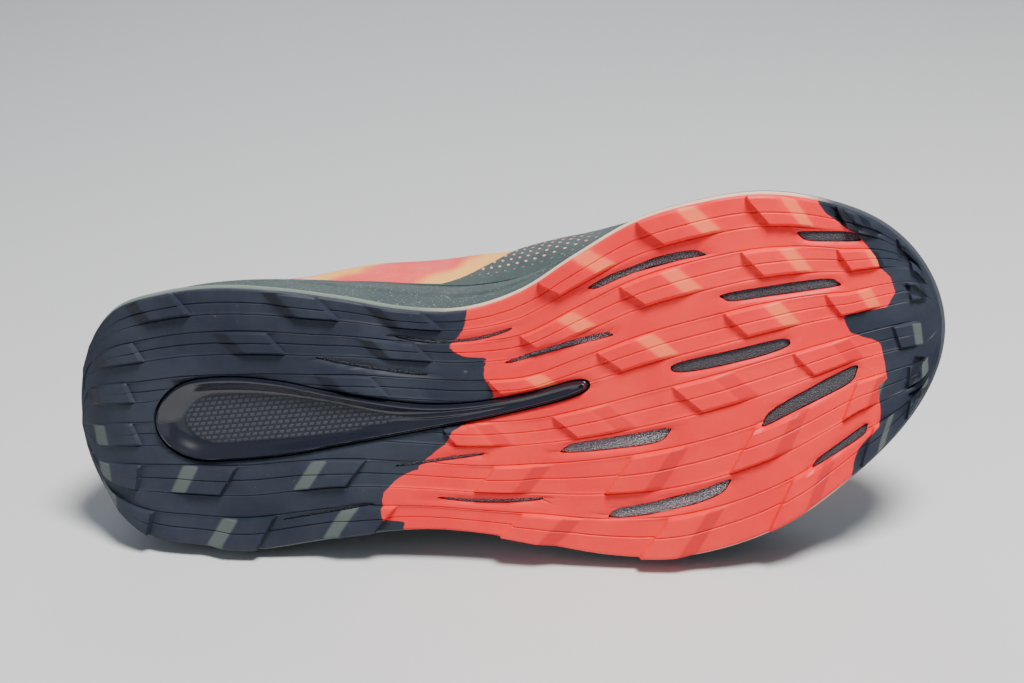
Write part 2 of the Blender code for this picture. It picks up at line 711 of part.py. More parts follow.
def tongue_lines():
    """Top face of the tongue: seven points across at each station, head to vamp."""
    lines = []
    last = STATIONS - VAMP_STATIONS
    for k in range(COLLAR_END, last + 1):
        m = LOOP - k
        clear = 2 * GAP + 2 * GAP * (k == last)
        here = [under(row, k, clear) for row in range(STAY_ROW, EDGE_ROW + 1)]
        there = [under(row, m, clear) for row in range(EDGE_ROW, STAY_ROW - 1, -1)]
        middle = (here[-1] + there[0]) / 2
        middle[2] += TONGUE_CROWN * (last - k) / (last - COLLAR_END)
        lines.append(np.array(here + [middle] + there))
    vamp = [(STAY_ROW, 1), (EDGE_ROW - 1, 2), (EDGE_ROW - 1, 4)]
    here = [under(row, last + step, 6 * GAP) for row, step in vamp]
    there = [under(row, LOOP - last - step, 6 * GAP) for row, step in reversed(vamp)]
    lines.append(np.array(here + [under(EDGE_ROW - 1, STATIONS, 6 * GAP)] + there))
    left, right = lines[0][2], lines[0][4]
    spread = np.linspace(0, 1, 7)[:, None]
    arch = np.sin(math.pi * spread[:, 0])
    head = []
    for rise, width in TONGUE_HEAD:
        row = left + (right - left) * spread
        row[:, 1] *= width
        row[:, 2] += TONGUE_RISE * rise + TONGUE_CROWN * arch
        row[:, 0] += TONGUE_CURL * arch * rise - TONGUE_BACK * TONGUE_RISE * rise
        head.append(row)
    return np.stack(head + lines[1:])


def tongue(material):
    top = tongue_lines()
    out = facing(top, closed=False)
    out *= np.sign(np.sum(out[:, 3:4, 2:3]))
    thick = TONGUE_EDGE + (TONGUE_THICKNESS - TONGUE_EDGE) * np.array(TONGUE_FULLNESS)
    return wall("tongue", top, top - thick[None, :, None] * out, material, False)


# Lace: a flat cord crossing the throat between the eyelets
def lace_run(path, facing_up):
    """Four corners of a flat cord at each point of a path, each with its own facing."""
    run = np.gradient(path, axis=0)
    run /= np.linalg.norm(run, axis=1)[:, None]
    side = np.cross(run, facing_up)
    side /= np.linalg.norm(side, axis=1)[:, None]
    up = np.cross(side, run)
    corners = [(1, 1), (-1, 1), (-1, -1), (1, -1)]
    rings = [path + side * (LACE_WIDTH / 2 * w) + up * (LACE_THICKNESS / 2 * t)
             for w, t in corners]
    return np.stack(rings, 1)


def lace(name, outer_at, inner_at, material):
    """One cord from an eyelet on the outer side to one on the inner side."""
    rise = GAP + OVERLAY + LACE_CLEARANCE + LACE_THICKNESS / 2
    ends = []
    for k in (outer_at, LOOP - inner_at):
        eyelet = SKIN[EDGE_ROW - 1, k] + rise * SKIN_OUT[EDGE_ROW - 1, k]
        edge = SKIN[EDGE_ROW, k] + rise * SKIN_OUT[EDGE_ROW, k]
        ends.append((eyelet, edge, SKIN_OUT[EDGE_ROW - 1, k], SKIN_OUT[EDGE_ROW, k]))
    (start, near, start_up, near_up), (stop, far, stop_up, far_up) = ends
    middle = (near + far) / 2 + np.array([0, 0, TONGUE_CROWN + LACE_THICKNESS])
    path = np.array([start, near, middle, far, stop])
    ups = np.array([start_up, near_up, [0, 0, 1.0], far_up, stop_up])
    grid = lace_run(path, ups)
    rows, count = grid.shape[:2]
    numbers = np.arange(rows * count).reshape(rows, count).tolist()
    faces = [tuple(numbers[0]), tuple(numbers[-1])]
    for one, two in zip(numbers, numbers[1:]):
        faces += strip(one, two)
    return finish(name, grid.reshape(-1, 3), faces, material)


def laces(material):
    """A bar at the lowest eyelets and a crossing for each pair above, all joined."""
    eyelets = [COLLAR_END + 1 + EYELET_STATIONS * i for i in range(EYELETS)][::-1]
    whole = lace("lace", eyelets[0], eyelets[0], material)
    for low, high in zip(eyelets, eyelets[1:]):
        for outer_at, inner_at in ((low, high), (high, low)):
            name = f"lace_guide_{outer_at}_{inner_at}"
            cut(whole, hidden(lace(name, outer_at, inner_at, material)), "UNION")
    return whole


# Laying down: the outer side of the sole and of the upper both meet the floor
def support(points, down, within):
    """The point that reaches lowest in a direction, among those within a mask."""
    chosen = points[within]
    return chosen[np.argmax(chosen @ down)]


def lay_down(pieces):
    """The turn and shift that lay the shoe on its heel edge, its ball and its collar."""
    points = np.concatenate([
        np.array([v.co for v in piece.data.vertices]) for piece in pieces])
    low = points[:, 2] < RIM_HEIGHT * 1.1
    ball = points[:, 0] > SOLE_LENGTH * ARCH_MIDDLE
    down = np.array([0.0, 1.0, 0.0])
    for _ in range(12):
        a = support(points, down, low & ~ball)
        b = support(points, down, ball)
        c = support(points, down, ~low & ~ball)
        down = np.cross(b - a, c - a)
        down /= np.linalg.norm(down) * np.sign(down[1])
    ahead = np.array([1.0, 0, 0]) - down * down[0]
    ahead /= np.linalg.norm(ahead)
    frame = np.array([ahead, np.cross(-down, ahead), -down])
    laid = points @ frame.T
    shift = -(laid.min(0) + laid.max(0)) / 2
    shift[2] = -laid[:, 2].min()
    place = Matrix(np.eye(4).tolist())
    for i in range(3):
        for j in range(3):
            place[i][j] = frame[i, j]
        place[i][3] = shift[i]
    return place


def build():
    rubber = colour("outsole_rubber", (0.80, 0.13, 0.10), 0.55)
    foam = colour("midsole_foam", (0.10, 0.17, 0.17), 0.70)
    gloss = colour("plate_plastic", (0.02, 0.025, 0.04), 0.25)
    mesh = colour("upper_mesh", (0.85, 0.20, 0.16), 0.80)
    film = colour("rand_film", (0.11, 0.18, 0.18), 0.60)
    facing_film = colour("eyestay_film", (0.03, 0.04, 0.05), 0.60)
    knit = colour("lining_knit", (0.03, 0.035, 0.05), 0.90)
    cord = colour("lace_cord", (0.08, 0.09, 0.11), 0.80)
    board = colour("insole_board", (0.10, 0.11, 0.13), 0.90)
    pieces = [outsole(rubber), plate(gloss), midsole(foam), insole(board)]
    pieces += [upper(mesh), rand(film), eyestay(facing_film), cuff(knit), tongue(knit)]
    pieces.append(laces(cord))
    shoe = bpy.data.objects.new("shoe", None)
    bpy.context.collection.objects.link(shoe)
    shoe.matrix_world = lay_down(pieces)
    for solid in list(bpy.context.collection.objects):
        if solid is not shoe:
            solid.parent = shoe


build()
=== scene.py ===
"""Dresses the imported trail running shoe, a left shoe lying on its outer side, and sets the
camera where the photograph was taken from: below the sole, a little towards the toe."""
import json
import math

import bmesh
import bpy
import numpy as np
from mathutils import Matrix, Vector


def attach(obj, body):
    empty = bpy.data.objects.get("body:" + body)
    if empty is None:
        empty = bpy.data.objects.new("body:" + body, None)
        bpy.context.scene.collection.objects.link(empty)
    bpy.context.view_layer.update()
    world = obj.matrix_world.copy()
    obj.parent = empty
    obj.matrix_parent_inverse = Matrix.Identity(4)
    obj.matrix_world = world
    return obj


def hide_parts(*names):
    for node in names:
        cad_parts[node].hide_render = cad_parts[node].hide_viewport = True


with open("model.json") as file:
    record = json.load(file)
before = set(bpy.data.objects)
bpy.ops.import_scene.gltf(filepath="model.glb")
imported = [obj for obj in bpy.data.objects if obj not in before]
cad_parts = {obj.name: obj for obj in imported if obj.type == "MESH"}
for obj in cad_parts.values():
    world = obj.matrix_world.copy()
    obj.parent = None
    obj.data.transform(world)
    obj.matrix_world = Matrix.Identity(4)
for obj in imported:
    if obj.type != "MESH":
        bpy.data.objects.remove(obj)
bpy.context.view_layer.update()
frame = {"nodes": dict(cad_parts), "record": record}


# Standing frame: the shoe lies on its side but is worked out standing, as on its last: x from
# heel to toe, y to the outer side, z up from the tread, in metres. The record's tread normal
# gives the turn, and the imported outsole's heel tip and lowest tread give the shift.
tread_normal = np.array(frame["record"]["mounts"][0]["axis"], float)
upwards = -tread_normal / np.linalg.norm(tread_normal)
ahead = np.array([-upwards[2], 0.0, upwards[0]])
ahead /= np.linalg.norm(ahead)
STANDING = np.array([ahead, np.cross(upwards, ahead), upwards])


def node_points(name):
    """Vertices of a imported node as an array."""
    mesh = frame["nodes"][name].data
    flat = np.empty(3 * len(mesh.vertices))
    mesh.vertices.foreach_get("co", flat)
    return flat.reshape(-1, 3)


turned = node_points("outsole") @ STANDING.T
heel_tip = turned[np.argmin(turned[:, 0])]
SHIFT = np.array([heel_tip[0], heel_tip[1], turned[:, 2].min()])


def laid(points):
    """Standing points turned and shifted into the frame of the lying shoe."""
    return (np.asarray(points, float) + SHIFT) @ STANDING


def quads(rows, columns, around=False, first=0):
    """Faces of a grid of rows by columns numbered row by row, its columns closed or not."""
    column = np.arange(columns if around else columns - 1)
    near = np.arange(rows - 1)[:, None] * columns + column
    beside = np.arange(rows - 1)[:, None] * columns + (column + 1) % columns
    grid = np.stack([near, beside, beside + columns, near + columns], -1)
    return grid.reshape(-1, 4) + first


def piece(name, points, faces, material, slot, *nodes, maps=None, sharp=38):
    """One piece of the shoe from standing points, its faces turned outwards.

    maps holds, by name, two values for each point, kept as a UV map on the corners.
    """
    mesh = bpy.data.meshes.new(name)
    mesh.from_pydata(laid(points).tolist(), [], [tuple(face) for face in faces])
    corner = np.empty(len(mesh.loops), int)
    mesh.loops.foreach_get("vertex_index", corner)
    for title, values in (maps or {}).items():
        layer = mesh.uv_layers.new(name=title)
        layer.data.foreach_set("uv", np.asarray(values, float)[corner].ravel())
    shape = bmesh.new()
    shape.from_mesh(mesh)
    bmesh.ops.remove_doubles(shape, verts=shape.verts, dist=1e-6)
    bmesh.ops.dissolve_degenerate(shape, edges=shape.edges, dist=1e-7)
    bmesh.ops.recalc_face_normals(shape, faces=shape.faces)
    shape.to_mesh(mesh)
    shape.free()
    mesh.shade_smooth()
    mesh.set_sharp_from_angle(angle=math.radians(sharp))
    mesh.materials.append(material)
    made = bpy.data.objects.new(name, mesh)
    bpy.context.scene.collection.objects.link(made)
    if nodes:
        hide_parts(*nodes)
    if slot:
        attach(made, "root")
    return made


class Signal:
    """A node's output: each sign written with it adds a Math node."""

    def __init__(self, look, socket):
        self.look, self.socket = look, socket

    def __add__(self, other):
        return self.look.math("ADD", self, other)

    def __sub__(self, other):
        return self.look.math("SUBTRACT", self, other)

    def __rsub__(self, other):
        return self.look.math("SUBTRACT", other, self)

    def __mul__(self, other):
        return self.look.math("MULTIPLY", self, other)


class Finish:
    """A node material: named nodes are added and linked in short calls."""

    def __init__(self, name, roughness=0.6, coat=0.0, sheen=0.0, specular=0.5):
        self.material = bpy.data.materials.new(name)
        self.material.use_nodes = True
        self.tree = self.material.node_tree
        self.shader = self.tree.nodes["Principled BSDF"]
        for title, value in (("Roughness", roughness), ("Coat Weight", coat),
                             ("Coat Roughness", 0.15), ("Sheen Weight", sheen),
                             ("Specular IOR Level", specular)):
            self.shader.inputs[title].default_value = value

    def put(self, socket, value):
        """A socket takes another node's output, a number or a colour."""
        if isinstance(value, Signal):
            self.tree.links.new(value.socket, socket)
        else:
            socket.default_value = (*value, 1.0) if isinstance(value, tuple) else value

    def add(self, kind, values, output=0, **settings):
        """A new node with its settings and inputs; gives one of its outputs."""
        node = self.tree.nodes.new("ShaderNode" + kind)
        for title, setting in settings.items():
            setattr(node, title, setting)
        for title, value in values.items():
            self.put(node.inputs[title], value)
        return Signal(self, node.outputs[output])

    def math(self, operation, *values, clamp=False):
        return self.add("Math", dict(enumerate(values)), operation=operation, use_clamp=clamp)

    def step(self, value, low, high):
        """0 below low, 1 above high and smooth between them."""
        return self.add("MapRange", dict(enumerate((value, low, high, 0.0, 1.0))),
                        interpolation_type="SMOOTHSTEP")

    def mix(self, factor, one, other):
        return self.add("Mix", {"Factor": factor, 6: one, 7: other}, 2, data_type="RGBA")

    def place(self, title=None):
        """Object coordinates, or the piece's own map of that name."""
        return self.add("UVMap", {}, uv_map=title) if title else self.add("TexCoord", {}, "Object")

    def parts(self, vector):
        """The three numbers of a vector."""
        split = self.add("SeparateXYZ", {0: vector}).socket.node
        return [Signal(self, output) for output in split.outputs]

    def noise(self, place, scale, detail=3.0, roughness=0.5):
        return self.add("TexNoise", {"Vector": place, "Scale": scale, "Detail": detail,
                                     "Roughness": roughness})

    def cells(self, place, scale, randomness=1.0):
        return self.add("TexVoronoi", {"Vector": place, "Scale": scale, "Randomness": randomness})

    def staggered(self, column, row):
        """Places across and up in each cell, every other row set off by half a cell."""
        odd = self.math("MODULO", self.math("FLOOR", row), 2.0) * 0.5
        return self.math("FRACT", column + odd) - 0.5, self.math("FRACT", row) - 0.5

    def bump(self, height, depth, strength):
        return self.add("Bump", {"Height": height, "Distance": depth, "Strength": strength})

    def finish(self, colour, roughness=None, normal=None):
        for title, value in (("Base Color", colour), ("Roughness", roughness), ("Normal", normal)):
            if value is not None:
                self.put(self.shader.inputs[title], value)
        return self.material


# Outsole: one moulded rubber sheet, coral under the forefoot and bluish grey at heel and toe.
# Lugs stand on it in six bands from heel to toe. Each has one steep wall, set in chevrons with
# the tip to the toe: at the heel the wall faces the toe, and ahead of the arch it faces back.
SOLE_LENGTH = 0.293
BALL_WIDTH = 0.110
RIM_HEIGHT = 0.040
TOE_SPRING = 0.022
HEEL_BEVEL = 0.010
ARCH_LIFT = 0.004
RUBBER = 0.0024
TREAD_STEP = 0.0026
BEAD = 0.0007
SOLE_COLUMNS = ("along", "inner", "outer", "rim", "cup", "inner_flare", "outer_flare")
SOLE = np.array([
    (0.000, 0.000, 0.000, 1.02, 1.00, 0.00, 0.00),
    (0.070, 0.345, 0.350, 1.00, 1.00, -0.10, -0.30),
    (0.140, 0.388, 0.400, 0.98, 1.00, -0.10, -0.45),
    (0.205, 0.388, 0.425, 0.96, 0.98, 0.00, -0.50),
    (0.275, 0.360, 0.413, 0.94, 0.95, 0.25, -0.45),
    (0.345, 0.315, 0.400, 0.92, 0.92, 0.60, -0.30),
    (0.415, 0.262, 0.402, 0.90, 0.88, 0.95, -0.15),
    (0.480, 0.242, 0.430, 0.87, 0.84, 1.00, -0.05),
    (0.550, 0.280, 0.478, 0.83, 0.80, 0.70, 0.00),
    (0.615, 0.365, 0.520, 0.78, 0.76, 0.25, 0.00),
    (0.685, 0.448, 0.541, 0.74, 0.72, 0.05, 0.00),
    (0.750, 0.482, 0.520, 0.72, 0.70, 0.00, 0.00),
    (0.820, 0.488, 0.462, 0.72, 0.68, 0.00, 0.00),
    (0.885, 0.445, 0.362, 0.76, 0.64, 0.00, 0.00),
    (0.950, 0.345, 0.225, 0.86, 0.66, 0.00, 0.00),
    (1.000, 0.055, -0.055, 0.99, 0.70, 0.00, 0.00),
])
# Bands of lugs from the inner edge to the outer: middle and half width as shares of half the
# sole's width, how far they stand out, and where along the length their walls are: three behind
# the arch and five ahead of it
BANDS = np.array([
    (-0.910, 0.090, 1.00, 0.162, 0.333, 0.449, 0.585, 0.703, 0.819, 0.906, 0.962),
    (-0.600, 0.090, 0.85, 0.099, 0.266, 0.433, 0.556, 0.676, 0.807, 0.903, 0.972),
    (-0.265, 0.090, 0.70, 0.080, 0.205, 0.379, 0.512, 0.642, 0.783, 0.887, 0.968),
    (0.090, 0.100, 0.60, 0.080, 0.239, 0.362, 0.447, 0.584, 0.722, 0.850, 0.950),
    (0.470, 0.120, 0.80, 0.075, 0.188, 0.340, 0.485, 0.637, 0.776, 0.894, 0.958),
    (0.880, 0.120, 1.00, 0.082, 0.225, 0.369, 0.510, 0.669, 0.811, 0.908, 0.955),
])
# A lug reaches LUG_LENGTH from its wall and is level for LUG_TOP of it; the wall leans across the
# band by WALL_LEAN and drops over WALL_RUN. Fine lines are GROOVE deep. In shares of half the
# width they reach GROOVE_REACH to each side, and a band's sides rise over BAND_SIDE from the
# lanes, which stand at LANE_STAND.
LUG_LENGTH = 0.0200
LUG_TOP = 0.0125
WALL_RUN = 0.0009
WALL_LEAN = 0.95
GROOVE = 0.0004
GROOVE_REACH = 0.0075
LANE_STAND = 0.15
BAND_SIDE = 0.020
HEEL_WALLS = 3
TREAD_SHARP = 32
HOLE_DIP = 0.0004
EDGE_DROP = 0.0006


def turn(share):
    """Angle of a share of the length, so that even angles crowd at heel and toe."""
    return np.arccos(np.clip(1 - 2 * np.asarray(share, float), -1, 1))


def smooth(knots, values, at):
    """Cubic through the knots, its slope at each the mean of the two chords there."""
    chord = np.diff(values) / np.diff(knots)
    slope = np.concatenate([chord[:1], (chord[1:] + chord[:-1]) / 2, chord[-1:]])
    cell = np.clip(np.searchsorted(knots, at) - 1, 0, len(knots) - 2)
    span = knots[cell + 1] - knots[cell]
    s = (at - knots[cell]) / span
    start = (1 + 2 * s) * (1 - s) ** 2 * values[cell] + s * (1 - s) ** 2 * span * slope[cell]
    end = s * s * (3 - 2 * s) * values[cell + 1] + s * s * (s - 1) * span * slope[cell + 1]
    return start + end


def sole_value(name, share):
    """A column of the sole table at shares of the length."""
    return smooth(turn(SOLE[:, 0]), SOLE[:, SOLE_COLUMNS.index(name)], turn(share))


def ease(low, high, at):
    """0 below low, 1 above high and smooth between."""
    s = np.clip((at - low) / (high - low), 0, 1)
    return s * s * (3 - 2 * s)


def ground(share, side):
    """Height of the tread above the flat: heel bevel, arch and toe spring."""
    heel = HEEL_BEVEL * (np.clip(0.13 - share, 0, 1) / 0.13) ** 2
    toe = TOE_SPRING * (np.clip(share - 0.72, 0, None) / 0.28) ** 2
    arch = ARCH_LIFT * np.clip(1 - ((share - 0.46) / 0.20) ** 2, 0, 1) ** 2
    return heel + toe + arch * (1 - side) / 2


def ground_at(plan):
    """Height of the tread under points given by x and y."""
    share = plan[..., 0] / SOLE_LENGTH
    inner = -BALL_WIDTH * sole_value("inner", share)
    width = BALL_WIDTH * sole_value("outer", share) - inner
    side = 2 * (plan[..., 1] - inner) / np.maximum(width, BEAD) - 1
    return ground(share, np.clip(side, -1, 1))


def band_rows(heel_walls, ball_walls):
    """Places along one band of lugs, how far the rubber stands out there and where it slopes.

    Behind the arch a lug rises over a slope, runs level and ends in a wall; ahead of it a lug
    starts with a wall, runs level, falls over a slope and flattens out to the next wall.
    """
    along, stand, slope = [np.array([0.0])], [np.array([0.0])], [np.array([0.0])]

    def run(end, steps, level, sloping=False):
        part = np.linspace(0, 1, steps + 1)[1:]
        slope.append(sloping * (part < 1))
        start, low = along[-1][-1], stand[-1][-1]
        along.append(start + (end - start) * part)
        stand.append(low + (level - low) * part)

    last = 0.0
    for wall_at in heel_walls:
        room = wall_at - last
        run(wall_at - min(LUG_LENGTH, 0.80 * room), 6, 0.0)
        run(wall_at - min(LUG_TOP, 0.50 * room), 4, 1.0, True)
        run(wall_at - WALL_RUN, 4, 1.0)
        run(wall_at, 2, 0.0)
        last = wall_at
    run(ball_walls[0], 6, 0.0)
    for wall_at, after in zip(ball_walls, (*ball_walls[1:], SOLE_LENGTH)):
        room = after - wall_at
        run(wall_at + WALL_RUN, 2, 1.0)
        run(wall_at + min(LUG_TOP, 0.38 * room), 4, 1.0)
        run(wall_at + min(LUG_LENGTH, 0.60 * room), 4, 0.22, True)
        run(wall_at + 0.78 * room, 3, 0.06)
        run(after, 3, 0.0)
    return np.concatenate(along), np.concatenate(stand), np.concatenate(slope)


def half_width(along):
    """Half the tread's width at places along."""
    share = along / SOLE_LENGTH
    return BALL_WIDTH * (sole_value("inner", share) + sole_value("outer", share)) / 2


def spread(places, x):
    """Places that keep their lines straight where the sole narrows to heel tip and toe tip.

    The hyperbolic tangent of k times the place, k growing as the half width falls short of
    the one at the last full section, crowds the outer lines along the edge.
    """
    full = half_width(SOLE_LENGTH * np.array([0.095, 0.905])).mean()
    narrow = np.maximum(full / half_width(np.clip(x, 0.006, SOLE_LENGTH - 0.006)) - 1, 0)
    k = np.clip(np.sqrt(3 * narrow + narrow ** 2), 1e-3, 4)
    return np.tanh(k * places) / np.tanh(k)


def lug_grid():
    """Places along and across, stands, slopes and grooves of the tread, band by band."""
    middle, reach = BANDS[:, :2].T
    lines = np.concatenate([middle - reach, middle, middle + reach])
    lines = lines[abs(lines) < 0.99]
    near = np.array([-0.022, -0.008, -0.0035, 0.0, 0.0035, 0.008, 0.022])
    edges = np.array([0.0, 0.012, 0.03])
    places = np.concatenate([np.linspace(-1, 1, 91), (lines[:, None] + near).ravel(),
                             -1 + edges, 1 - edges])
    places = np.unique(np.round(places[(places >= -1) & (places <= 1)], 4))
    anchors, xs, lifts, slopes = [], [], [], []
    for centre, half, stand, *walls in BANDS:
        walls = SOLE_LENGTH * np.array(walls)
        along, lift, slope = band_rows(walls[:HEEL_WALLS], walls[HEEL_WALLS:])
        lean = -WALL_LEAN * np.sign(centre - half) * np.sin(turn(along / SOLE_LENGTH))
        fade = ease(0.002, 0.035, along) * ease(0.002, 0.020, SOLE_LENGTH - along)
        for side in (-1, 1):
            anchors.append(centre + side * half)
            xs.append(along + lean * side * half * half_width(along) * fade)
            lifts.append(lift * stand)
            slopes.append(slope)
    xs, lifts, slopes, anchors = map(np.array, (xs, lifts, slopes, anchors))
    cell = np.clip(np.searchsorted(anchors, places) - 1, 0, len(anchors) - 2)
    s = np.clip((places - anchors[cell]) / (anchors[cell + 1] - anchors[cell]), 0, 1)

    def between(rows):
        return (rows[cell] * (1 - s)[:, None] + rows[cell + 1] * s[:, None]).T

    inside = np.min(abs(places[:, None] - anchors[1:-1]), 1)
    width = ease(0.0, BAND_SIDE, inside) * (cell % 2 == 0)
    lift = between(lifts) * width + LANE_STAND * (1 - width)
    groove = np.clip(1 - np.min(abs(places[:, None] - lines), 1) / GROOVE_REACH, 0, 1)
    return np.clip(between(xs), 0, SOLE_LENGTH), places, lift, between(slopes) * width, groove


WINDOW = np.array([
    (0.106, 0.008, 0.000), (0.120, 0.008, 0.080), (0.150, 0.008, 0.125),
    (0.205, 0.012, 0.132), (0.265, 0.025, 0.117), (0.320, 0.041, 0.088),
    (0.375, 0.054, 0.062), (0.430, 0.062, 0.041), (0.475, 0.060, 0.032),
    (0.530, 0.046, 0.027), (0.600, 0.014, 0.025), (0.613, 0.008, 0.018),
    (0.618, 0.006, 0.000),
])
SLIT_POINTS = 28
# Slits: from and to as shares of length and ball width, half width, bow, taper, shear, share of
# painted glints
SLITS = np.array([
    (0.625, -0.268, 0.762, -0.347, 0.0165, -0.018, 0.45, 1, 0.35),
    (0.765, -0.204, 0.900, -0.212, 0.0165, -0.004, 0.90, 1, 0.08),
    (0.853, -0.358, 0.925, -0.330, 0.0150, 0.000, 1.00, 1, 0.04),
    (0.700, -0.014, 0.845, -0.062, 0.0200, 0.004, 1.00, 0, 0.06),
    (0.792, 0.170, 0.912, 0.048, 0.0240, -0.004, 0.85, 1, 0.10),
    (0.843, 0.314, 0.914, 0.215, 0.0150, 0.000, 0.60, 1, 0.06),
    (0.570, 0.192, 0.706, 0.172, 0.0240, 0.004, 0.60, 1, 0.85),
    (0.615, 0.398, 0.765, 0.335, 0.0240, 0.016, 0.60, 1, 0.80),
    (0.522, -0.074, 0.652, -0.140, 0.0110, -0.004, 0.50, 1, 0.90),
    (0.400, -0.188, 0.540, -0.178, 0.0064, 0.030, 0.60, 0, 0.85),
    (0.308, -0.152, 0.437, -0.062, 0.0060, 0.006, 0.80, 0, 0.60),
    (0.383, 0.202, 0.491, 0.187, 0.0064, 0.000, 0.80, 0, 0.90),
    (0.427, 0.307, 0.553, 0.336, 0.0070, 0.010, 0.80, 0, 0.95),
    (0.243, 0.338, 0.352, 0.311, 0.0045, 0.000, 0.60, 0, 0.40),
])


def window_line(steps, inset=0.0):
    """Outline of the heel window, heel end first, out along one side and back on the other."""
    start, end = WINDOW[0, 0], WINDOW[-1, 0]
    angles = np.linspace(0, math.pi, steps + 1)
    share = start + (end - start) * (1 - np.cos(angles)) / 2
    knots = turn((WINDOW[:, 0] - start) / (end - start))
    centre = BALL_WIDTH * smooth(knots, WINDOW[:, 1], angles)
    half = BALL_WIDTH * np.clip(smooth(knots, WINDOW[:, 2], angles), 0, None)
    half[[0, -1]] = 0
    half = np.clip(half - inset, 0, None)
    one = np.column_stack([SOLE_LENGTH * share, centre + half])
    other = np.column_stack([SOLE_LENGTH * share, centre - half])
    return np.concatenate([one, other[-2:0:-1]])


def slit_line(row, turned=0.05, fill=1.0):
    """Outline of a slit: a bar with rounded corners, tapered, bowed and sheared.

    It is the curve |u|^5 + |v|^5 = 1, u along and v across, or a rounder one where there is
    no shear; the shear is half its width. A fill under 1 draws it in towards its middle.
    """
    start = np.array([row[0] * SOLE_LENGTH, row[1] * BALL_WIDTH])
    end = np.array([row[2] * SOLE_LENGTH, row[3] * BALL_WIDTH])
    width, bow = BALL_WIDTH * row[4], BALL_WIDTH * row[5]
    chord = end - start
    length = np.linalg.norm(chord)
    along = chord / length
    across = np.array([-along[1], along[0]])
    angle = np.linspace(0, 2 * math.pi, SLIT_POINTS, endpoint=False) + turned
    power = 0.4 if row[7] else 0.6
    u = np.sign(np.cos(angle)) * abs(np.cos(angle)) ** power
    v = np.sign(np.sin(angle)) * abs(np.sin(angle)) ** power
    half = width * (row[6] + (1 - row[6]) * (u + 1) / 2)
    lean = -np.sign(start[1] + end[1]) * v * width * row[7]
    place = (length / 2 - width - 0.0003 * (fill < 1)) * u + lean * fill
    level = v * half * fill + bow * (1 - u * u)
    return (start + end) / 2 + place[:, None] * along + level[:, None] * across


def away_from(points, line):
    """Distance of plan points from a closed line, less than nothing inside it."""
    nearest = np.full(len(points), np.inf)
    crossings = np.zeros(len(points), int)
    for a, b in zip(line, np.roll(line, -1, 0)):
        run = b - a
        s = np.clip(((points - a) @ run) / max(run @ run, 1e-18), 0, 1)
        nearest = np.minimum(nearest, np.linalg.norm(points - a - s[:, None] * run, axis=1))
        if abs(run[1]) > 1e-12:
            level = (points[:, 1] - a[1]) / run[1]
            crossings += (level >= 0) & (level < 1) & (points[:, 0] < a[0] + level * run[0])
    return np.where(crossings % 2 == 1, -nearest, nearest)


# Borders of the grey rubber at heel and toe, in millimetres of the standing frame
HEEL_BORDER = np.array([
    (143, -60), (143, -26.4), (141, -19.8), (136, -16), (135, -14.4), (140, -11.7), (148, -10.6),
    (146, -4.8), (149, 2), (144, 8), (134, 12), (131, 16.1), (123, 21.1), (122, 23.7),
    (116, 24.7), (112, 27), (107, 31.7), (107, 39.2), (109, 42.8), (113, 40.3), (115, 44.2),
    (115, 80), (-40, 80), (-40, -60),
]) / 1000
TOE_BORDER = np.array([
    (258, -49.3), (260, -45.5), (266, -39.8), (271, -34.8), (274, -29.9), (275, -25.9),
    (278, -22.7), (279, -17.4), (276, -13.1), (264, -12.7), (262, -12.1), (264, -6.9),
    (273, -2.3), (274, 9.5), (271, 11.6), (271, 20.6), (270, 24.4), (265, 28.7), (262, 32.2),
    (260, 38.8), (256, 70), (340, 70), (340, -70), (254, -70),
]) / 1000
# Pockets between the small blocks at the toe, in the same measure; sunk a little and painted near
# black as shade
TOE_POCKETS = [
    [(261, -48), (265, -47), (269, -41), (276, -37), (276, -36), (269, -38), (266, -41),
     (262, -44)],
    [(282, -32), (285, -31), (288, -27), (288, -24), (284, -27)],
    [(282, -19), (285, -19), (289, -14), (286, -15), (284, -16)],
    [(283, 4), (286, 5), (284, 11), (281, 14), (279, 14), (282, 8)],
    [(280, 16), (286, 14), (290, 11), (286, 17), (282, 19)],
]
POCKET_DEPTH = 0.0012


def zone_map(plan):
    """How deep plan points lie in the grey of the heel and of the toe, in millimetres."""
    borders = (HEEL_BORDER, TOE_BORDER)
    return -1000 * np.column_stack([away_from(plan, line) for line in borders])


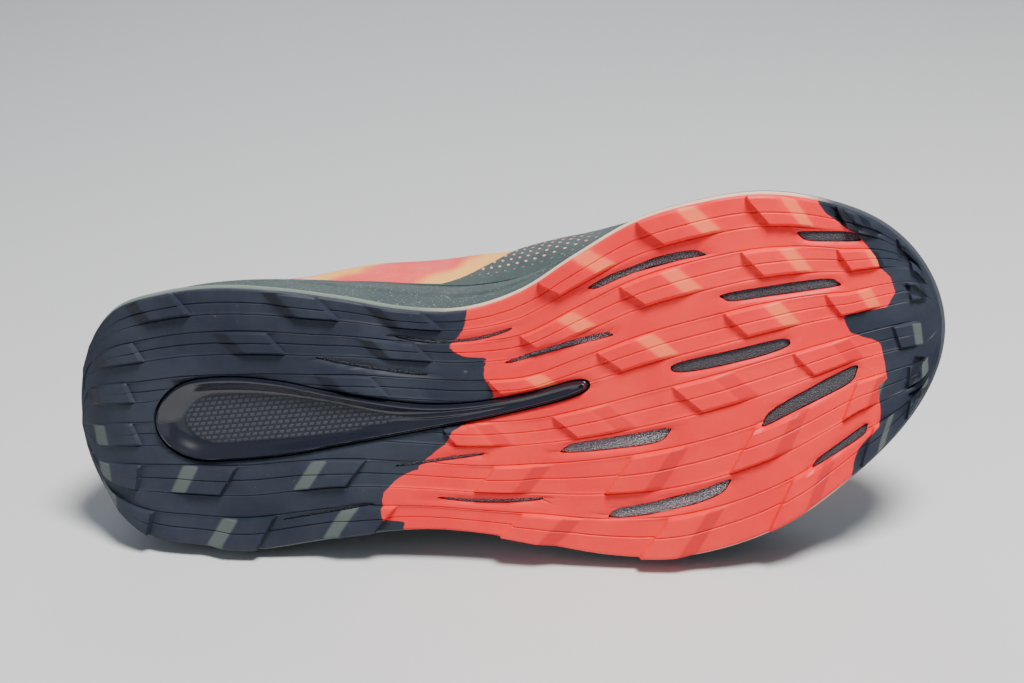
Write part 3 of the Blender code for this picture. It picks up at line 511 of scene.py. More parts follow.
def outsole_rubber():
    """Coral and bluish grey rubber from one mould: the colours meet on a crisp line."""
    look = Finish("outsole rubber", roughness=0.5, specular=0.28)
    zones = look.parts(look.place("zones"))[:2]
    where = look.place()
    blur = (look.noise(where, 260, 2) - 0.5) * 0.9
    grey = look.math("MAXIMUM", *[look.step(zone + blur, -0.12, 0.12) for zone in zones])
    cloud = look.noise(where, 38, 4, 0.6)
    # Painted light and shade on the lug slopes: highlight on inner coral and outer grey slopes,
    # shade on the others.
    slopes = look.parts(look.place("slopes"))
    outer = look.step(slopes[0], 0.05, 0.85)
    inner = look.step(slopes[1], 0.05, 0.95)
    coral = look.mix(look.step(cloud, 0.35, 0.7), (0.82, 0.016, 0.024), (0.88, 0.034, 0.032))
    coral = look.mix(outer * 0.60, coral, (0.56, 0.010, 0.018))
    coral = look.mix(inner * 0.55, coral, (0.94, 0.23, 0.085))
    dark = look.mix(look.step(cloud, 0.3, 0.7), (0.014, 0.019, 0.034), (0.027, 0.035, 0.053))
    dark = look.mix(outer * 0.42, dark, (0.17, 0.205, 0.180))
    dark = look.mix(inner * 0.75, dark, (0.005, 0.007, 0.014))
    # Painted shade: the toe pockets are painted near black, as shade in the recesses.
    pocket = look.step(look.parts(look.place("pockets"))[0], 0.35, 0.65)
    dark = look.mix(pocket * 0.85, dark, (0.008, 0.011, 0.020))
    scuff = look.step(look.noise(where, 420, 6, 0.75), 0.60, 0.76)
    wear = look.step(look.noise(where, 55, 3, 0.6), 0.46, 0.66)
    colour = look.mix(scuff * wear * 0.30, look.mix(grey, coral, dark), (0.42, 0.40, 0.36))
    rough = look.noise(where, 300, 4) * 0.22 + 0.40
    grain = look.noise(where, 1900, 2, 0.6)
    return look.finish(colour, rough, look.bump(grain, 0.00006, 0.6))


def make_outsole():
    """The tread grid, its side walls and its back, with window and slits cut through."""
    x, places, lift, sloping, groove = lug_grid()
    share = x / SOLE_LENGTH
    lift = lift * (ease(0.0, 0.004, x) * ease(0.0, 0.004, SOLE_LENGTH - x))
    step_out = BEAD * lift * (half_width(x) > 0.004)
    inner = -BALL_WIDTH * sole_value("inner", share) + BEAD
    outer = BALL_WIDTH * sole_value("outer", share) - BEAD
    middle = (inner + outer) / 2
    half = np.clip((outer - inner) / 2, 0, None)
    across = middle + half * spread(places, x)
    across += np.sign(places) * step_out * ease(0.97, 1.0, abs(places))
    plan_x = BEAD + (SOLE_LENGTH - 2 * BEAD) * share
    flat = np.dstack([plan_x, across]).reshape(-1, 2)
    holes = [window_line(60)] + [slit_line(row) for row in SLITS]
    near_hole = np.full(len(flat), np.inf)
    for hole in holes:
        box = (flat > hole.min(0) - 0.004).all(1) & (flat < hole.max(0) + 0.004).all(1)
        near_hole[box] = np.minimum(near_hole[box], away_from(flat[box], hole))
    near_hole = near_hole.reshape(x.shape)
    lift = lift * ease(0.0, 0.0012, near_hole)
    lines_end = ease(0.012, 0.030, x) * ease(0.006, 0.016, SOLE_LENGTH - x)
    below = TREAD_STEP * (1 - lift)
    below += GROOVE * groove * lines_end * ease(0.0002, 0.0010, near_hole)
    below += HOLE_DIP * (1 - ease(-0.0004, 0.0009, near_hole))
    below += EDGE_DROP * lift * (1 - ease(0.0, 0.010, 1 - abs(places)))
    pocket = np.max([ease(-0.0006, 0.0006, -away_from(flat, np.array(line) / 1000))
                     for line in TOE_POCKETS], 0).reshape(x.shape)
    below = below + pocket * POCKET_DEPTH
    level_side = np.clip((across - middle) / np.maximum(half, 1e-4), -1, 1)
    bottom = np.dstack([plan_x, across, ground(share, level_side) + below])

    def rim(side, out, above):
        """A line of the side wall: out moves it from the tread's edge to the sheet's edge."""
        column, name = (-1, "outer") if side > 0 else (0, "inner")
        edge, along = bottom[:, column], share[:, column]
        wall = np.column_stack([SOLE_LENGTH * along, side * BALL_WIDTH * sole_value(name, along)])
        height = ground(along, float(side)) + above
        if out == 0:
            height = (edge[:, 2] + height) / 2
        return np.column_stack([edge[:, :2] * (1 - out) + wall * out, height])

    walls = [(0.0, TREAD_STEP + 0.0001), (0.7, TREAD_STEP + 0.0003),
             (1.0, TREAD_STEP + 0.0008), (1.0, TREAD_STEP + 0.0021), (0.6, TREAD_STEP + RUBBER)]
    outer_wall = [rim(1, out, above) for out, above in walls]
    inner_wall = [rim(-1, out, above) for out, above in walls]
    back = [outer_wall[-1] * (1 - t) + inner_wall[-1] * t for t in np.linspace(0, 1, 12)[1:-1]]
    loop = np.concatenate([bottom, np.stack(outer_wall + back + inner_wall[::-1], 1)], 1)
    rows, columns = loop.shape[:2]
    points = loop.reshape(-1, 3)

    def tread_map(one, other):
        """Two values over the tread's grid, and nothing on the walls and the back."""
        values = np.zeros((rows, columns, 2))
        values[:, :len(places)] = np.dstack([one, other])
        return values.reshape(-1, 2)

    material = outsole_rubber()
    sheet = piece("outsole_moulding", points, quads(rows, columns, True), material,
                  "outsole_rubber", "outsole", sharp=TREAD_SHARP,
                  maps={"zones": zone_map(points[:, :2]),
                        # the slopes map places the painted light and shade on the lug slopes
                        "slopes": tread_map(sloping * (places > 0), sloping * (places <= 0)),
                        # the pockets map places the painted shade of the toe pockets
                        "pockets": tread_map(pocket, 0 * pocket)})
    corners, faces, first = [], [], 0
    for hole in holes:
        count = len(hole)
        corners += [np.column_stack([hole, np.full(count, level)]) for level in (-0.02, 0.06)]
        low = np.arange(first, first + count)
        faces += [tuple(low), tuple(low + count), *quads(2, count, True, first).tolist()]
        first += 2 * count
    corners = np.concatenate(corners)
    punch = piece("hole_punch", corners, faces, material, None,
                  maps={"zones": zone_map(corners[:, :2]), "slopes": 0 * corners[:, :2],
                        "pockets": 0 * corners[:, :2]})
    step = sheet.modifiers.new("holes", "BOOLEAN")
    step.operation = "DIFFERENCE"
    step.solver = "EXACT"
    step.object = punch
    bpy.context.view_layer.update()
    whole = bpy.data.meshes.new_from_object(
        sheet.evaluated_get(bpy.context.evaluated_depsgraph_get()))
    sheet.modifiers.clear()
    sheet.data = whole
    whole.set_sharp_from_angle(angle=math.radians(TREAD_SHARP))
    bpy.data.objects.remove(punch, do_unlink=True)


make_outsole()


# Plate: a thin glossy moulded sheet between rubber and foam. It shows woven in the slits, and
# in the heel window it is dished: a polished rim runs down to a textured floor, and the slot
# ahead of it holds a rib.
PLATE_INSET = 0.012
PLATE_THICKNESS = 0.0012
GAP = 0.0003
SHEET = TREAD_STEP + RUBBER
# The woven pad in a slit, ring by ring: how much of the slit it fills, and its height
PAD = [(0.0, 0.0010), (0.5, 0.0010), (0.86, 0.0011), (0.93, 0.0014),
       (0.93, RUBBER + GAP * 2), (0.0, RUBBER + GAP * 2)]
# The dish: its gaps to the rubber beside and at both ends, its axis in shares of the length, how
# deep its rim lies under the tread, the crest on the rim and the step at its edge, the drop to
# the floor in the slot and what the wide end adds, the rib, and half widths that count as slot
DISH_GAP = 0.0006
DISH_ENDS = 0.0014
DISH_AXIS = (0.195, 0.606)
DISH_RIM = 0.0014
DISH_CREST = 0.0003
DISH_STEP = 0.0012
DISH_DROP = (0.0014, 0.0020)
DISH_RIB = 0.0012
SLOT = (0.0035, 0.0060)


def plate_plastic():
    """Polished dark plastic, woven where the map's v is 1.

    The map's u says how far the dish's floor reaches, or how many painted glints the weave takes.
    """
    look = Finish("plate plastic", roughness=0.2, coat=0.5)
    reach, woven = look.parts(look.place("floor"))[:2]
    plan = look.place("plan")
    x, y = look.parts(plan)[:2]
    dx, dy = look.staggered(x * 4.2, y * 6.0)
    away = look.math("MAXIMUM", look.math("ABSOLUTE", dx + dy * 0.35),
                     look.math("ABSOLUTE", dy * 1.15))
    dashes = 1.0 - look.step(away, 0.26, 0.40)
    floor = reach * (1.0 - woven)
    weave = look.cells(plan, 26, 0.7)
    # Painted glints: white specks in the weave's colour, as many as the slit's share allows.
    spark = look.step(look.noise(plan, 30, 2, 0.9), 0.53, 0.58)
    spark = look.math("MULTIPLY", spark, reach + 0.03, clamp=True)
    cloth = look.mix(look.step(weave, 0.15, 0.55), (0.008, 0.011, 0.018), (0.026, 0.032, 0.044))
    cloth = look.mix(spark, cloth, (0.80, 0.84, 0.88))
    dish = look.mix(floor * (dashes * 0.6), (0.009, 0.011, 0.020), (0.060, 0.066, 0.092))
    rough = floor * 0.26 + woven * 0.45 + 0.17
    look.put(look.shader.inputs["Coat Weight"], (1.0 - woven) * 0.5)
    height = dashes * floor + weave * (woven * 1.4)
    return look.finish(look.mix(woven, dish, cloth), rough, look.bump(height, 0.00030, 0.9))


def make_plate():
    """The dish in rings, a woven pad in each slit and the flat plate that joins them."""
    start, end = WINDOW[0, 0], WINDOW[-1, 0]
    edge = window_line(110, DISH_GAP)
    mid = SOLE_LENGTH * (start + end) / 2
    edge[:, 0] = mid + (edge[:, 0] - mid) * (1 - DISH_ENDS / (SOLE_LENGTH * (end - start)))
    axis_share = np.clip(edge[:, 0] / SOLE_LENGTH, *DISH_AXIS)
    knots = turn((WINDOW[:, 0] - start) / (end - start))
    axis_y = smooth(knots, WINDOW[:, 1], turn((axis_share - start) / (end - start)))
    axis = np.column_stack([SOLE_LENGTH * axis_share, BALL_WIDTH * axis_y])
    t = np.linspace(0, 1, 40)[:, None] ** 1.2
    plan = edge + (axis - edge) * t[..., None]
    room = np.linalg.norm(axis - edge, axis=1)
    inset = t * room
    floor_from = room * (0.40 + 0.60 * ease(0.092, 0.128, edge[:, 0]))
    bowl = ease(0.0, 1.0, (inset - 0.0007) / np.maximum(floor_from - 0.0007, 0.0008))
    deep = DISH_DROP[0] + DISH_DROP[1] * ease(0.25, 1.0, room / 0.011)
    crest = np.exp(-((inset - 0.0011) / 0.0007) ** 2)
    rib = (1 - ease(*SLOT, room)) * np.exp(-((room - inset) / 0.0008) ** 2)
    rib = rib * ease(0.0, 0.004, SOLE_LENGTH * end - plan[..., 0])
    level = DISH_RIM - DISH_CREST * crest + deep * bowl - DISH_RIB * rib
    level += DISH_STEP * (1 - ease(0.0, 0.0008, inset))
    front = np.dstack([plan, ground_at(plan) + level])
    back = front[[0, -1]].copy()
    back[..., 2] = ground_at(back[..., :2]) + SHEET + GAP + PLATE_THICKNESS
    floor = ease(-0.0002, 0.0008, inset - floor_from) * ease(0.0025, 0.0045, room)
    rings = np.concatenate([front[::-1], back])
    faces = quads(len(rings), len(edge), True).tolist()
    reach = np.concatenate([floor[::-1], np.zeros((2, len(edge)))]).reshape(-1)
    points, maps = [rings.reshape(-1, 3)], [np.column_stack([reach, 0 * reach])]
    first = len(points[0])
    for row in SLITS:
        for fill, up in PAD:
            line = slit_line(row, 0.0, fill)
            points.append(np.column_stack([line, ground_at(line) + TREAD_STEP + up]))
        faces += quads(len(PAD), SLIT_POINTS, True, first).tolist()
        maps.append(np.tile([row[8], 1.0], (len(PAD) * SLIT_POINTS, 1)))
        first += len(PAD) * SLIT_POINTS
    shares = (1 - np.cos(np.linspace(0, math.pi, 90))) / 2
    left = PLATE_INSET - BALL_WIDTH * sole_value("inner", shares)
    right = BALL_WIDTH * sole_value("outer", shares) - PLATE_INSET
    wide = right > left
    shares, left, right = shares[wide], left[wide], right[wide]
    left[[0, -1]] = right[[0, -1]] = (left + right)[[0, -1]] / 2
    across = np.linspace(0, 1, 12)
    sheet_y = left[:, None] + (right - left)[:, None] * across
    plan = np.dstack([SOLE_LENGTH * shares[:, None] * np.ones(len(across)), sheet_y])
    low = np.dstack([plan, ground_at(plan) + SHEET + GAP])
    high = low + np.array([0, 0, PLATE_THICKNESS])
    sheet = np.concatenate([low, high[:, ::-1]], 1)
    faces += quads(*sheet.shape[:2], True, first).tolist()
    points.append(sheet.reshape(-1, 3))
    maps.append(np.tile([0.0, 1.0], (len(points[-1]), 1)))
    points = np.concatenate(points)
    piece("plate_moulding", points, faces, plate_plastic(), "plate_plastic", "plate",
          maps={"floor": np.concatenate(maps), "plan": points[:, :2] * 100})


make_plate()


# Midsole: one block of moulded foam, grey-teal with a fine speckle. A bead, with a painted
# highlight along its lower edge, runs where it meets the rubber, a crease runs along its side, and
# its rim cups the upper.
ARCH_FLARE = 0.008
BEAD_HEIGHT = 0.0026
CUP_DEPTH = 0.010
RIM_LIP = 0.0024
RIM_LEAN = 0.0022
CUP_DRAFT = 0.0026
SIDE_SWELL = 0.0012
SIDE_CREASE = 0.0010
CREASE_AT = 0.42
STATIONS = 144
LOOP = 2 * STATIONS
HALF_TURN = np.linspace(0, math.pi, STATIONS + 1)
LOOP_TURN = np.concatenate([HALF_TURN, HALF_TURN[-2:0:-1]])
LOOP_SHARE = (1 - np.cos(LOOP_TURN)) / 2
LOOP_SIDE = np.ones(LOOP)
LOOP_SIDE[STATIONS + 1:] = -1
LOOP_SIDE[[0, STATIONS]] = 0
GREY_TEAL = (0.030, 0.049, 0.053), (0.044, 0.066, 0.068)


def either_side(inner, outer):
    """Values around the loop from an inner and an outer array."""
    return np.where(LOOP_SIDE < 0, inner, outer)


def unit(vectors):
    """Vectors made one long."""
    return vectors / np.linalg.norm(vectors, axis=-1, keepdims=True)


EDGE = np.column_stack([SOLE_LENGTH * LOOP_SHARE, BALL_WIDTH * either_side(
    -sole_value("inner", LOOP_SHARE), sole_value("outer", LOOP_SHARE))])
EDGE_RUN = np.roll(EDGE, -1, 0) - np.roll(EDGE, 1, 0)
EDGE_OUT = unit(np.column_stack([-EDGE_RUN[:, 1], EDGE_RUN[:, 0]]))
FLARE = ARCH_FLARE * either_side(
    sole_value("inner_flare", LOOP_SHARE), sole_value("outer_flare", LOOP_SHARE))
RIM = RIM_HEIGHT * sole_value("rim", LOOP_SHARE)
FOOTBED = RIM - CUP_DEPTH * sole_value("cup", LOOP_SHARE)


def ring(inset, height):
    """The tread's outline moved in by inset, at a height for each station."""
    plan = EDGE - EDGE_OUT * (inset * np.ones(LOOP))[:, None]
    return np.column_stack([plan, height * np.ones(LOOP)])


def closed_rings(count):
    """Faces of a number of rings, and strips across that close the first and the last."""
    faces = quads(count, LOOP, True).tolist()
    station = np.arange(1, STATIONS)
    for first in (0, (count - 1) * LOOP):
        outer, inner = first + station, first + LOOP - station
        faces += np.stack([outer[:-1], outer[1:], inner[1:], inner[:-1]], -1).tolist()
        faces += [(first, outer[0], inner[0]), (first + STATIONS, outer[-1], inner[-1])]
    return faces


def midsole_foam():
    """Grey-teal foam with fine dark and pale specks, and a painted highlight along the bead's
    lower edge.
    """
    look = Finish("midsole foam", roughness=0.62)
    along, side = look.parts(look.place("side"))[:2]
    where = look.place()
    specks = look.step(look.noise(where, 1500, 2, 0.7), 0.60, 0.68)
    base = look.mix(look.step(look.noise(where, 60), 0.35, 0.65), *GREY_TEAL)
    colour = look.mix(specks * 0.5, base, (0.34, 0.38, 0.36))
    colour = look.mix(look.step(along, 0.60, 0.68) * 0.75, colour, (0.035, 0.042, 0.05))
    # Painted highlight along the bead: warm and pale from the arch forward, dimmer at the heel,
    # dark at the toe.
    pale = look.mix(look.step(along, 0.42, 0.52), (0.17, 0.225, 0.195), (0.78, 0.60, 0.44))
    pale = look.mix(look.step(along, 0.86, 0.90), pale, (0.05, 0.06, 0.08))
    colour = look.mix(look.step(side, 0.5, 0.6), pale, colour)
    grain = look.noise(where, 900, 3, 0.7) + specks * 0.3
    return look.finish(colour, None, look.bump(grain, 0.00012, 0.5))


def make_midsole():
    """Rings from the underside out over bead, side and rim, and down into the cup."""
    def sheet_ring(inset, above):
        flat = ring(inset, 0)
        flat[:, 2] = ground_at(flat[:, :2]) + above
        return flat

    bottom = SHEET + GAP
    base = sheet_ring(0, bottom)[:, 2]
    side = RIM - base
    lip = RIM_LEAN + RIM_LIP - FLARE
    pinch = np.sin(LOOP_TURN) ** 2
    seat = bottom + PLATE_THICKNESS + GAP
    rings = [sheet_ring(PLATE_INSET - GAP, seat), sheet_ring(PLATE_INSET - GAP, bottom)]
    shown = [1, 1]
    for out, up in ((0.0, 0.0), (-1.0, 0.12), (-1.25, 0.5), (-1.0, 0.88), (-0.1, 1.0)):
        rings.append(sheet_ring(BEAD * out, bottom + up * BEAD_HEIGHT))
        shown.append(ease(0.25, 0.6, up))
    for t in np.linspace(0.0, 1.0, 26):
        up = base + BEAD_HEIGHT + 0.0004 + (side - BEAD_HEIGHT - 0.0016) * t
        out = FLARE * (t ** 0.8) * 0.9 + SIDE_SWELL * np.sin(math.pi * t) ** 0.7 - BEAD
        away = t - CREASE_AT - 0.10 * np.cos(LOOP_TURN * 1.5)
        crease = SIDE_CREASE * np.exp(-(away / 0.035) ** 2)
        out = out - crease * pinch - RIM_LEAN * t ** 3
        rings.append(ring(-out, up))
        shown.append(1)
    rings += [ring(RIM_LEAN - FLARE * 0.95 + 0.0005, RIM - 0.0004),
              ring(RIM_LEAN - FLARE + 0.0012, RIM), ring(lip - 0.0004, RIM - 0.0001),
              ring(lip, RIM - 0.0006), ring(lip + CUP_DRAFT, FOOTBED)]
    shown += [1] * 5
    count = len(rings)
    # The lowest bead rings, with small shown values, take the painted highlight.
    side_map = np.column_stack([np.tile(LOOP_SHARE, count), np.repeat(shown, LOOP)])
    piece("midsole_foam", np.concatenate(rings), closed_rings(count), midsole_foam(),
          "midsole_foam", "midsole", maps={"side": side_map})


make_midsole()


# Upper: a sock of engineered mesh, coral with broad yellow waves, drawn over the last and glued
# into the midsole's cup. Each rib climbs from the rim to the edge of collar and throat. Soft
# creases cross the toes where the shoe bends and run behind the ankle.
COLLAR_HEIGHT = 0.098
BULGE = 0.010
UPPER_WALL = 0.0020
OVERLAY = 0.0012
LINING_DROP = 60.0
UPPER_COLUMNS = ("start", "along", "across", "up", "inner_swell", "outer_swell",
                 "straight", "rand", "stay")
UPPER = np.array([
    (0.00, 0.032, 0.000, 1.000, 0.22, 0.22, 0.85, 0.34, 0.22),
    (0.03, 0.048, 0.130, 0.985, 0.18, 0.15, 0.85, 0.34, 0.22),
    (0.10, 0.100, 0.245, 0.915, 0.12, 0.08, 0.84, 0.34, 0.22),
    (0.18, 0.175, 0.285, 0.845, 0.16, 0.05, 0.82, 0.28, 0.24),
    (0.26, 0.250, 0.290, 0.820, 0.36, 0.05, 0.80, 0.08, 0.26),
    (0.34, 0.320, 0.260, 0.850, 0.80, 0.08, 0.72, 0.07, 0.26),
    (0.42, 0.385, 0.200, 0.905, 1.10, 0.12, 0.58, 0.07, 0.24),
    (0.50, 0.440, 0.160, 0.900, 1.34, 0.15, 0.46, 0.18, 0.24),
    (0.58, 0.500, 0.145, 0.845, 1.25, 0.16, 0.38, 0.34, 0.24),
    (0.66, 0.560, 0.135, 0.785, 0.75, 0.18, 0.34, 0.40, 0.24),
    (0.74, 0.610, 0.128, 0.730, 0.28, 0.15, 0.30, 0.40, 0.23),
    (0.82, 0.650, 0.118, 0.690, 0.16, 0.15, 0.26, 0.38, 0.22),
    (0.90, 0.680, 0.095, 0.660, 0.16, 0.16, 0.24, 0.40, 0.20),
    (0.97, 0.698, 0.050, 0.640, 0.18, 0.18, 0.24, 0.42, 0.18),
    (1.00, 0.700, 0.000, 0.635, 0.18, 0.18, 0.24, 0.44, 0.18),
])
# Creases: place along, middle and reach up a rib, depth in metres, lean, run along
CREASES = np.array([
    (0.700, 0.52, 0.30, -0.0013, 0.10, 0.013),
    (0.735, 0.50, 0.30, 0.0008, 0.12, 0.013),
    (0.770, 0.52, 0.32, -0.0015, 0.14, 0.014),
    (0.805, 0.50, 0.30, 0.0007, 0.16, 0.014),
    (0.560, 0.55, 0.25, -0.0008, -0.10, 0.018),
    (0.300, 0.60, 0.28, -0.0009, 0.20, 0.016),
    (0.245, 0.55, 0.30, 0.0006, 0.22, 0.016),
    (0.110, 0.50, 0.30, -0.0007, -0.15, 0.014),
])


def upper_value(name):
    """A column of the upper table at each loop station."""
    return smooth(turn(UPPER[:, 0]), UPPER[:, UPPER_COLUMNS.index(name)], LOOP_TURN)


RAND_SHARE = upper_value("rand")
STAY_SHARE = 1 - upper_value("stay")
RIM_INSET = RIM_LEAN + RIM_LIP - FLARE + GAP


def ribs(share):
    """Points on the upper's outer skin: share runs up each rib, from the rim to the opening.

    A rib is part straight line, part quarter ellipse that leaves the rim upright and
    arrives level; a half sine swells it, and the creases are Gaussian troughs and ridges.
    """
    start = ring(RIM_INSET, RIM)
    end = np.column_stack([SOLE_LENGTH * upper_value("along"),
                           BALL_WIDTH * upper_value("across") * LOOP_SIDE,
                           COLLAR_HEIGHT * upper_value("up")])
    straight = upper_value("straight")
    swell = BULGE * either_side(upper_value("inner_swell"), upper_value("outer_swell"))
    quarter = share * math.pi / 2
    plan_share = straight * share + (1 - straight) * (1 - np.cos(quarter))
    up_share = straight * share + (1 - straight) * np.sin(quarter)
    push = swell * np.sin(math.pi * np.clip(share, 0, 1) ** 0.85)
    for along, middle, reach, depth, lean, run in CREASES:
        at = (LOOP_SHARE - along - lean * (share - middle)) * SOLE_LENGTH / run
        push = push + depth * np.exp(-at ** 2 - ((share - middle) / reach) ** 2)
    plan = start[:, :2] + (end - start)[:, :2] * plan_share[..., None]
    plan = plan + EDGE_OUT * push[..., None]
    return np.dstack([plan, start[:, 2] + (end - start)[:, 2] * up_share])


def facing(grid, around=True):
    """Unit normals of a grid of rows by stations, pointing away from the foot."""
    if around:
        along = np.roll(grid, -1, 1) - np.roll(grid, 1, 1)
    else:
        along = np.gradient(grid, axis=1)
    normal = np.cross(np.gradient(grid, axis=0), along)
    return unit(normal)


def shell(outside, inside, around=True):
    """Points and faces of a wall between two grids, its edges closed."""
    rows, count = outside.shape[:2]
    points = np.concatenate([outside.reshape(-1, 3), inside.reshape(-1, 3)])
    second = rows * count
    faces = quads(rows, count, around).tolist()
    faces += quads(rows, count, around, second).tolist()
    run = np.arange(count if around else count - 1)
    for row in (0, rows - 1):
        a, b = row * count + run, row * count + (run + 1) % count
        faces += np.stack([a, b, b + second, a + second], -1).tolist()
    if not around:
        run = np.arange(rows - 1) * count
        for end in (0, count - 1):
            a, b = run + end, run + end + count
            faces += np.stack([a, b, b + second, a + second], -1).tolist()
    return points, faces


def rib_map(share):
    """Map of a wall of ribs in centimetres: along the shoe, and up the rib, on both faces."""
    along = LOOP_SHARE * SOLE_LENGTH * 100 * np.where(LOOP_SIDE < 0, 1, -1)
    one = np.dstack([np.broadcast_to(along, share.shape), share * (COLLAR_HEIGHT * 60)])
    return np.tile(one.reshape(-1, 2), (2, 1))


def upper_mesh():
    """Open-hole mesh: rows of small eyelets knitted in, over coral and yellow waves."""
    look = Finish("upper mesh", roughness=0.75, sheen=0.06, specular=0.3)
    fabric = look.place("fabric")
    u, v = look.parts(fabric)[:2]
    bend = (look.noise(fabric, 0.30) - 0.5) * 6.0
    wave = look.math("SINE", u * 1.05 + v * -1.25 + (bend + 0.6))
    cloud = look.noise(fabric, 1.4, 4, 0.6)
    coral = look.mix(look.step(cloud, 0.3, 0.7), (0.82, 0.070, 0.070), (0.86, 0.115, 0.110))
    colour = look.mix(look.step(wave, -0.10, 0.45), coral, (0.90, 0.22, 0.07))
    colour = look.mix(look.step(wave, 0.25, 0.85), colour, (0.90, 0.47, 0.12))
    tip = look.step(u, 6.3, 7.0) * (1.0 - look.step(u, 7.6, 8.4))
    tip = tip * (1.0 - look.step(v, 1.0, 2.2))
    colour = look.mix(tip * 0.7, colour, (0.90, 0.60, 0.58))
    hole_x = look.math("COSINE", u * (2 * math.pi / 0.17))
    hole_y = look.math("COSINE", v * (2 * math.pi / 0.15))
    holes = look.step(hole_x * hole_y, 0.45, 0.85)
    colour = look.mix(holes * 0.35, colour, (0.25, 0.03, 0.03))
    lining = 1.0 - look.step(v, -LINING_DROP / 2, -LINING_DROP / 3)
    colour = look.mix(lining, colour, (0.035, 0.040, 0.052))
    knit = look.noise(fabric, 42, 2, 0.6) - holes * 1.2
    return look.finish(colour, None, look.bump(knit, 0.00025, 0.6))


def make_upper():
    """The whole shell, from below the rim, where it is glued in, to the opening."""
    share = np.linspace(0, 1, 56)[:, None] * np.ones(LOOP)
    skin = ribs(share)
    foot = ring(RIM_INSET + CUP_DRAFT, FOOTBED + GAP)
    skin = np.concatenate([foot[None], skin])
    share = np.concatenate([share[:1] - 0.05, share])
    out = facing(skin)
    roll = np.ones(len(skin))
    roll[-1] = 0.55
    points, faces = shell(skin - (1 - roll)[:, None, None] * UPPER_WALL * out * 0.5,
                          skin - UPPER_WALL * (0.5 + 0.5 * roll)[:, None, None] * out)
    fabric = rib_map(share)
    fabric[share.size:, 1] -= LINING_DROP
    piece("upper_mesh_shell", points, faces, upper_mesh(), "upper_mesh", "upper",
          maps={"fabric": fabric}, sharp=50)


make_upper()


# Rand: a thin film welded all round the foot of the upper, grey-teal, high over the toes and
# punched with small holes at the arch, which show the coral mesh.
RAND_FOOT = 0.012


def rand_film():
    """Matt film with pinholes by the arch and a dull scuffed toe."""
    look = Finish("rand film", roughness=0.55)
    u, v = look.parts(look.place("fabric"))[:2]
    where = look.place()
    dx, dy = look.staggered(u * (1 / 0.34), v * (1 / 0.24))
    away = look.math("SQRT", look.math("POWER", dx, 2.0) + look.math("POWER", dy, 2.0))
    arch = look.step(u, 13.4, 14.4) * (1.0 - look.step(u, 17.8, 19.0))
    dots = (1.0 - look.step(away, 0.13, 0.21)) * arch * look.step(v, 0.35, 0.45)
    base = look.mix(look.step(look.noise(where, 70, 4, 0.6), 0.35, 0.65), *GREY_TEAL)
    specks = look.step(look.noise(where, 1300, 2, 0.7), 0.62, 0.70)
    base = look.mix(specks * 0.4, base, (0.30, 0.35, 0.33))
    toe = look.step(look.math("ABSOLUTE", u), 19.5, 21.5)
    base = look.mix(toe * 0.8, base, (0.030, 0.036, 0.045))
    colour = look.mix(dots, base, (0.78, 0.34, 0.31))
    grain = look.noise(where, 1100) * 0.3 - dots
    return look.finish(colour, None, look.bump(grain, 0.0004, 0.6))


def make_rand():
    """A band over the skin's lowest rows, its upper edge bevelled into the mesh."""
    rows = np.linspace(0, 1, 22)[:, None]
    top = np.maximum(1.25 * RAND_SHARE - 0.085, 0.02)
    share = RAND_FOOT + (top - RAND_FOOT) * rows
    skin = ribs(share)
    out = facing(skin)
    lift = OVERLAY * np.minimum(1, 0.35 + 0.65 * (1 - ease(0.93, 1.0, rows[:, 0])))
    outside = skin + (GAP + lift)[:, None, None] * out
    points, faces = shell(outside, skin + GAP * out)
    piece("rand_band", points, faces, rand_film(), "rand_film", "rand",
          maps={"fabric": rib_map(share)}, sharp=50)


make_rand()


# Eyestay: a dark film facing welded round the throat, stitched along both edges, with six
# punched and ringed eyelets down each side.
COLLAR_END = int(np.argmin(abs(HALF_TURN - turn(0.40)))) // 4 * 4
EYELETS = [COLLAR_END + 4 + 8 * k for k in range(6)][::-1]
THROAT = np.arange(COLLAR_END, LOOP - COLLAR_END + 1)
EYELET_LEVEL = 0.50
# A ring's profile from its hole outwards: radius, and height over the facing
EYELET = [(0.0019, -0.0002), (0.0019, 0.0003), (0.0024, 0.0006), (0.0030, 0.0003),
          (0.0030, -0.0002)]
STITCH_LEVELS = (0.10, 0.93)
STITCH_STEP = 0.0034
STITCH_LENGTH = 0.0022
THREAD = 0.00035


def eyestay_film():
    """Plain matt film with a leathery grain."""
    look = Finish("eyestay film", roughness=0.55)
    where = look.place()
    tint = look.mix(look.step(look.noise(where, 90, 4, 0.6), 0.3, 0.7),
                    (0.022, 0.026, 0.034), (0.033, 0.039, 0.051))
    return look.finish(tint, None, look.bump(look.cells(where, 900), 0.00015, 0.5))


def throat_ribs(levels):
    """Skin and its normals beside the throat, from the facing's outer edge at 0 to 1."""
    skin = ribs(STAY_SHARE + (1 - STAY_SHARE) * np.reshape(levels, (-1, 1)))
    return skin, facing(skin)


def on_facing(level):
    """The line on top of the facing at a level, and its normals."""
    skin, out = throat_ribs([level - 0.02, level, level + 0.02])
    return skin[1] + (GAP + OVERLAY) * out[1], out[1]


def between(at, run, values):
    """Columns of values known along a run, interpolated at places on it."""
    return np.column_stack([np.interp(at, run, column) for column in values.T])


def lengths(line):
    """How far each point of a line is from its start, along it."""
    return np.concatenate([[0], np.cumsum(np.linalg.norm(np.diff(line, axis=0), axis=1))])


def make_facing():
    """The film itself, bevelled at its outer edge."""
    rows = np.linspace(0, 1, 20)
    skin, out = throat_ribs(rows)
    lift = GAP + OVERLAY * (0.3 + 0.7 * ease(0, 0.08, rows))
    points, faces = shell((skin + lift[:, None, None] * out)[:, THROAT],
                          (skin + GAP * out)[:, THROAT], False)
    piece("eyestay_facing", points, faces, eyestay_film(), "eyestay_film", "eyestay", sharp=50)


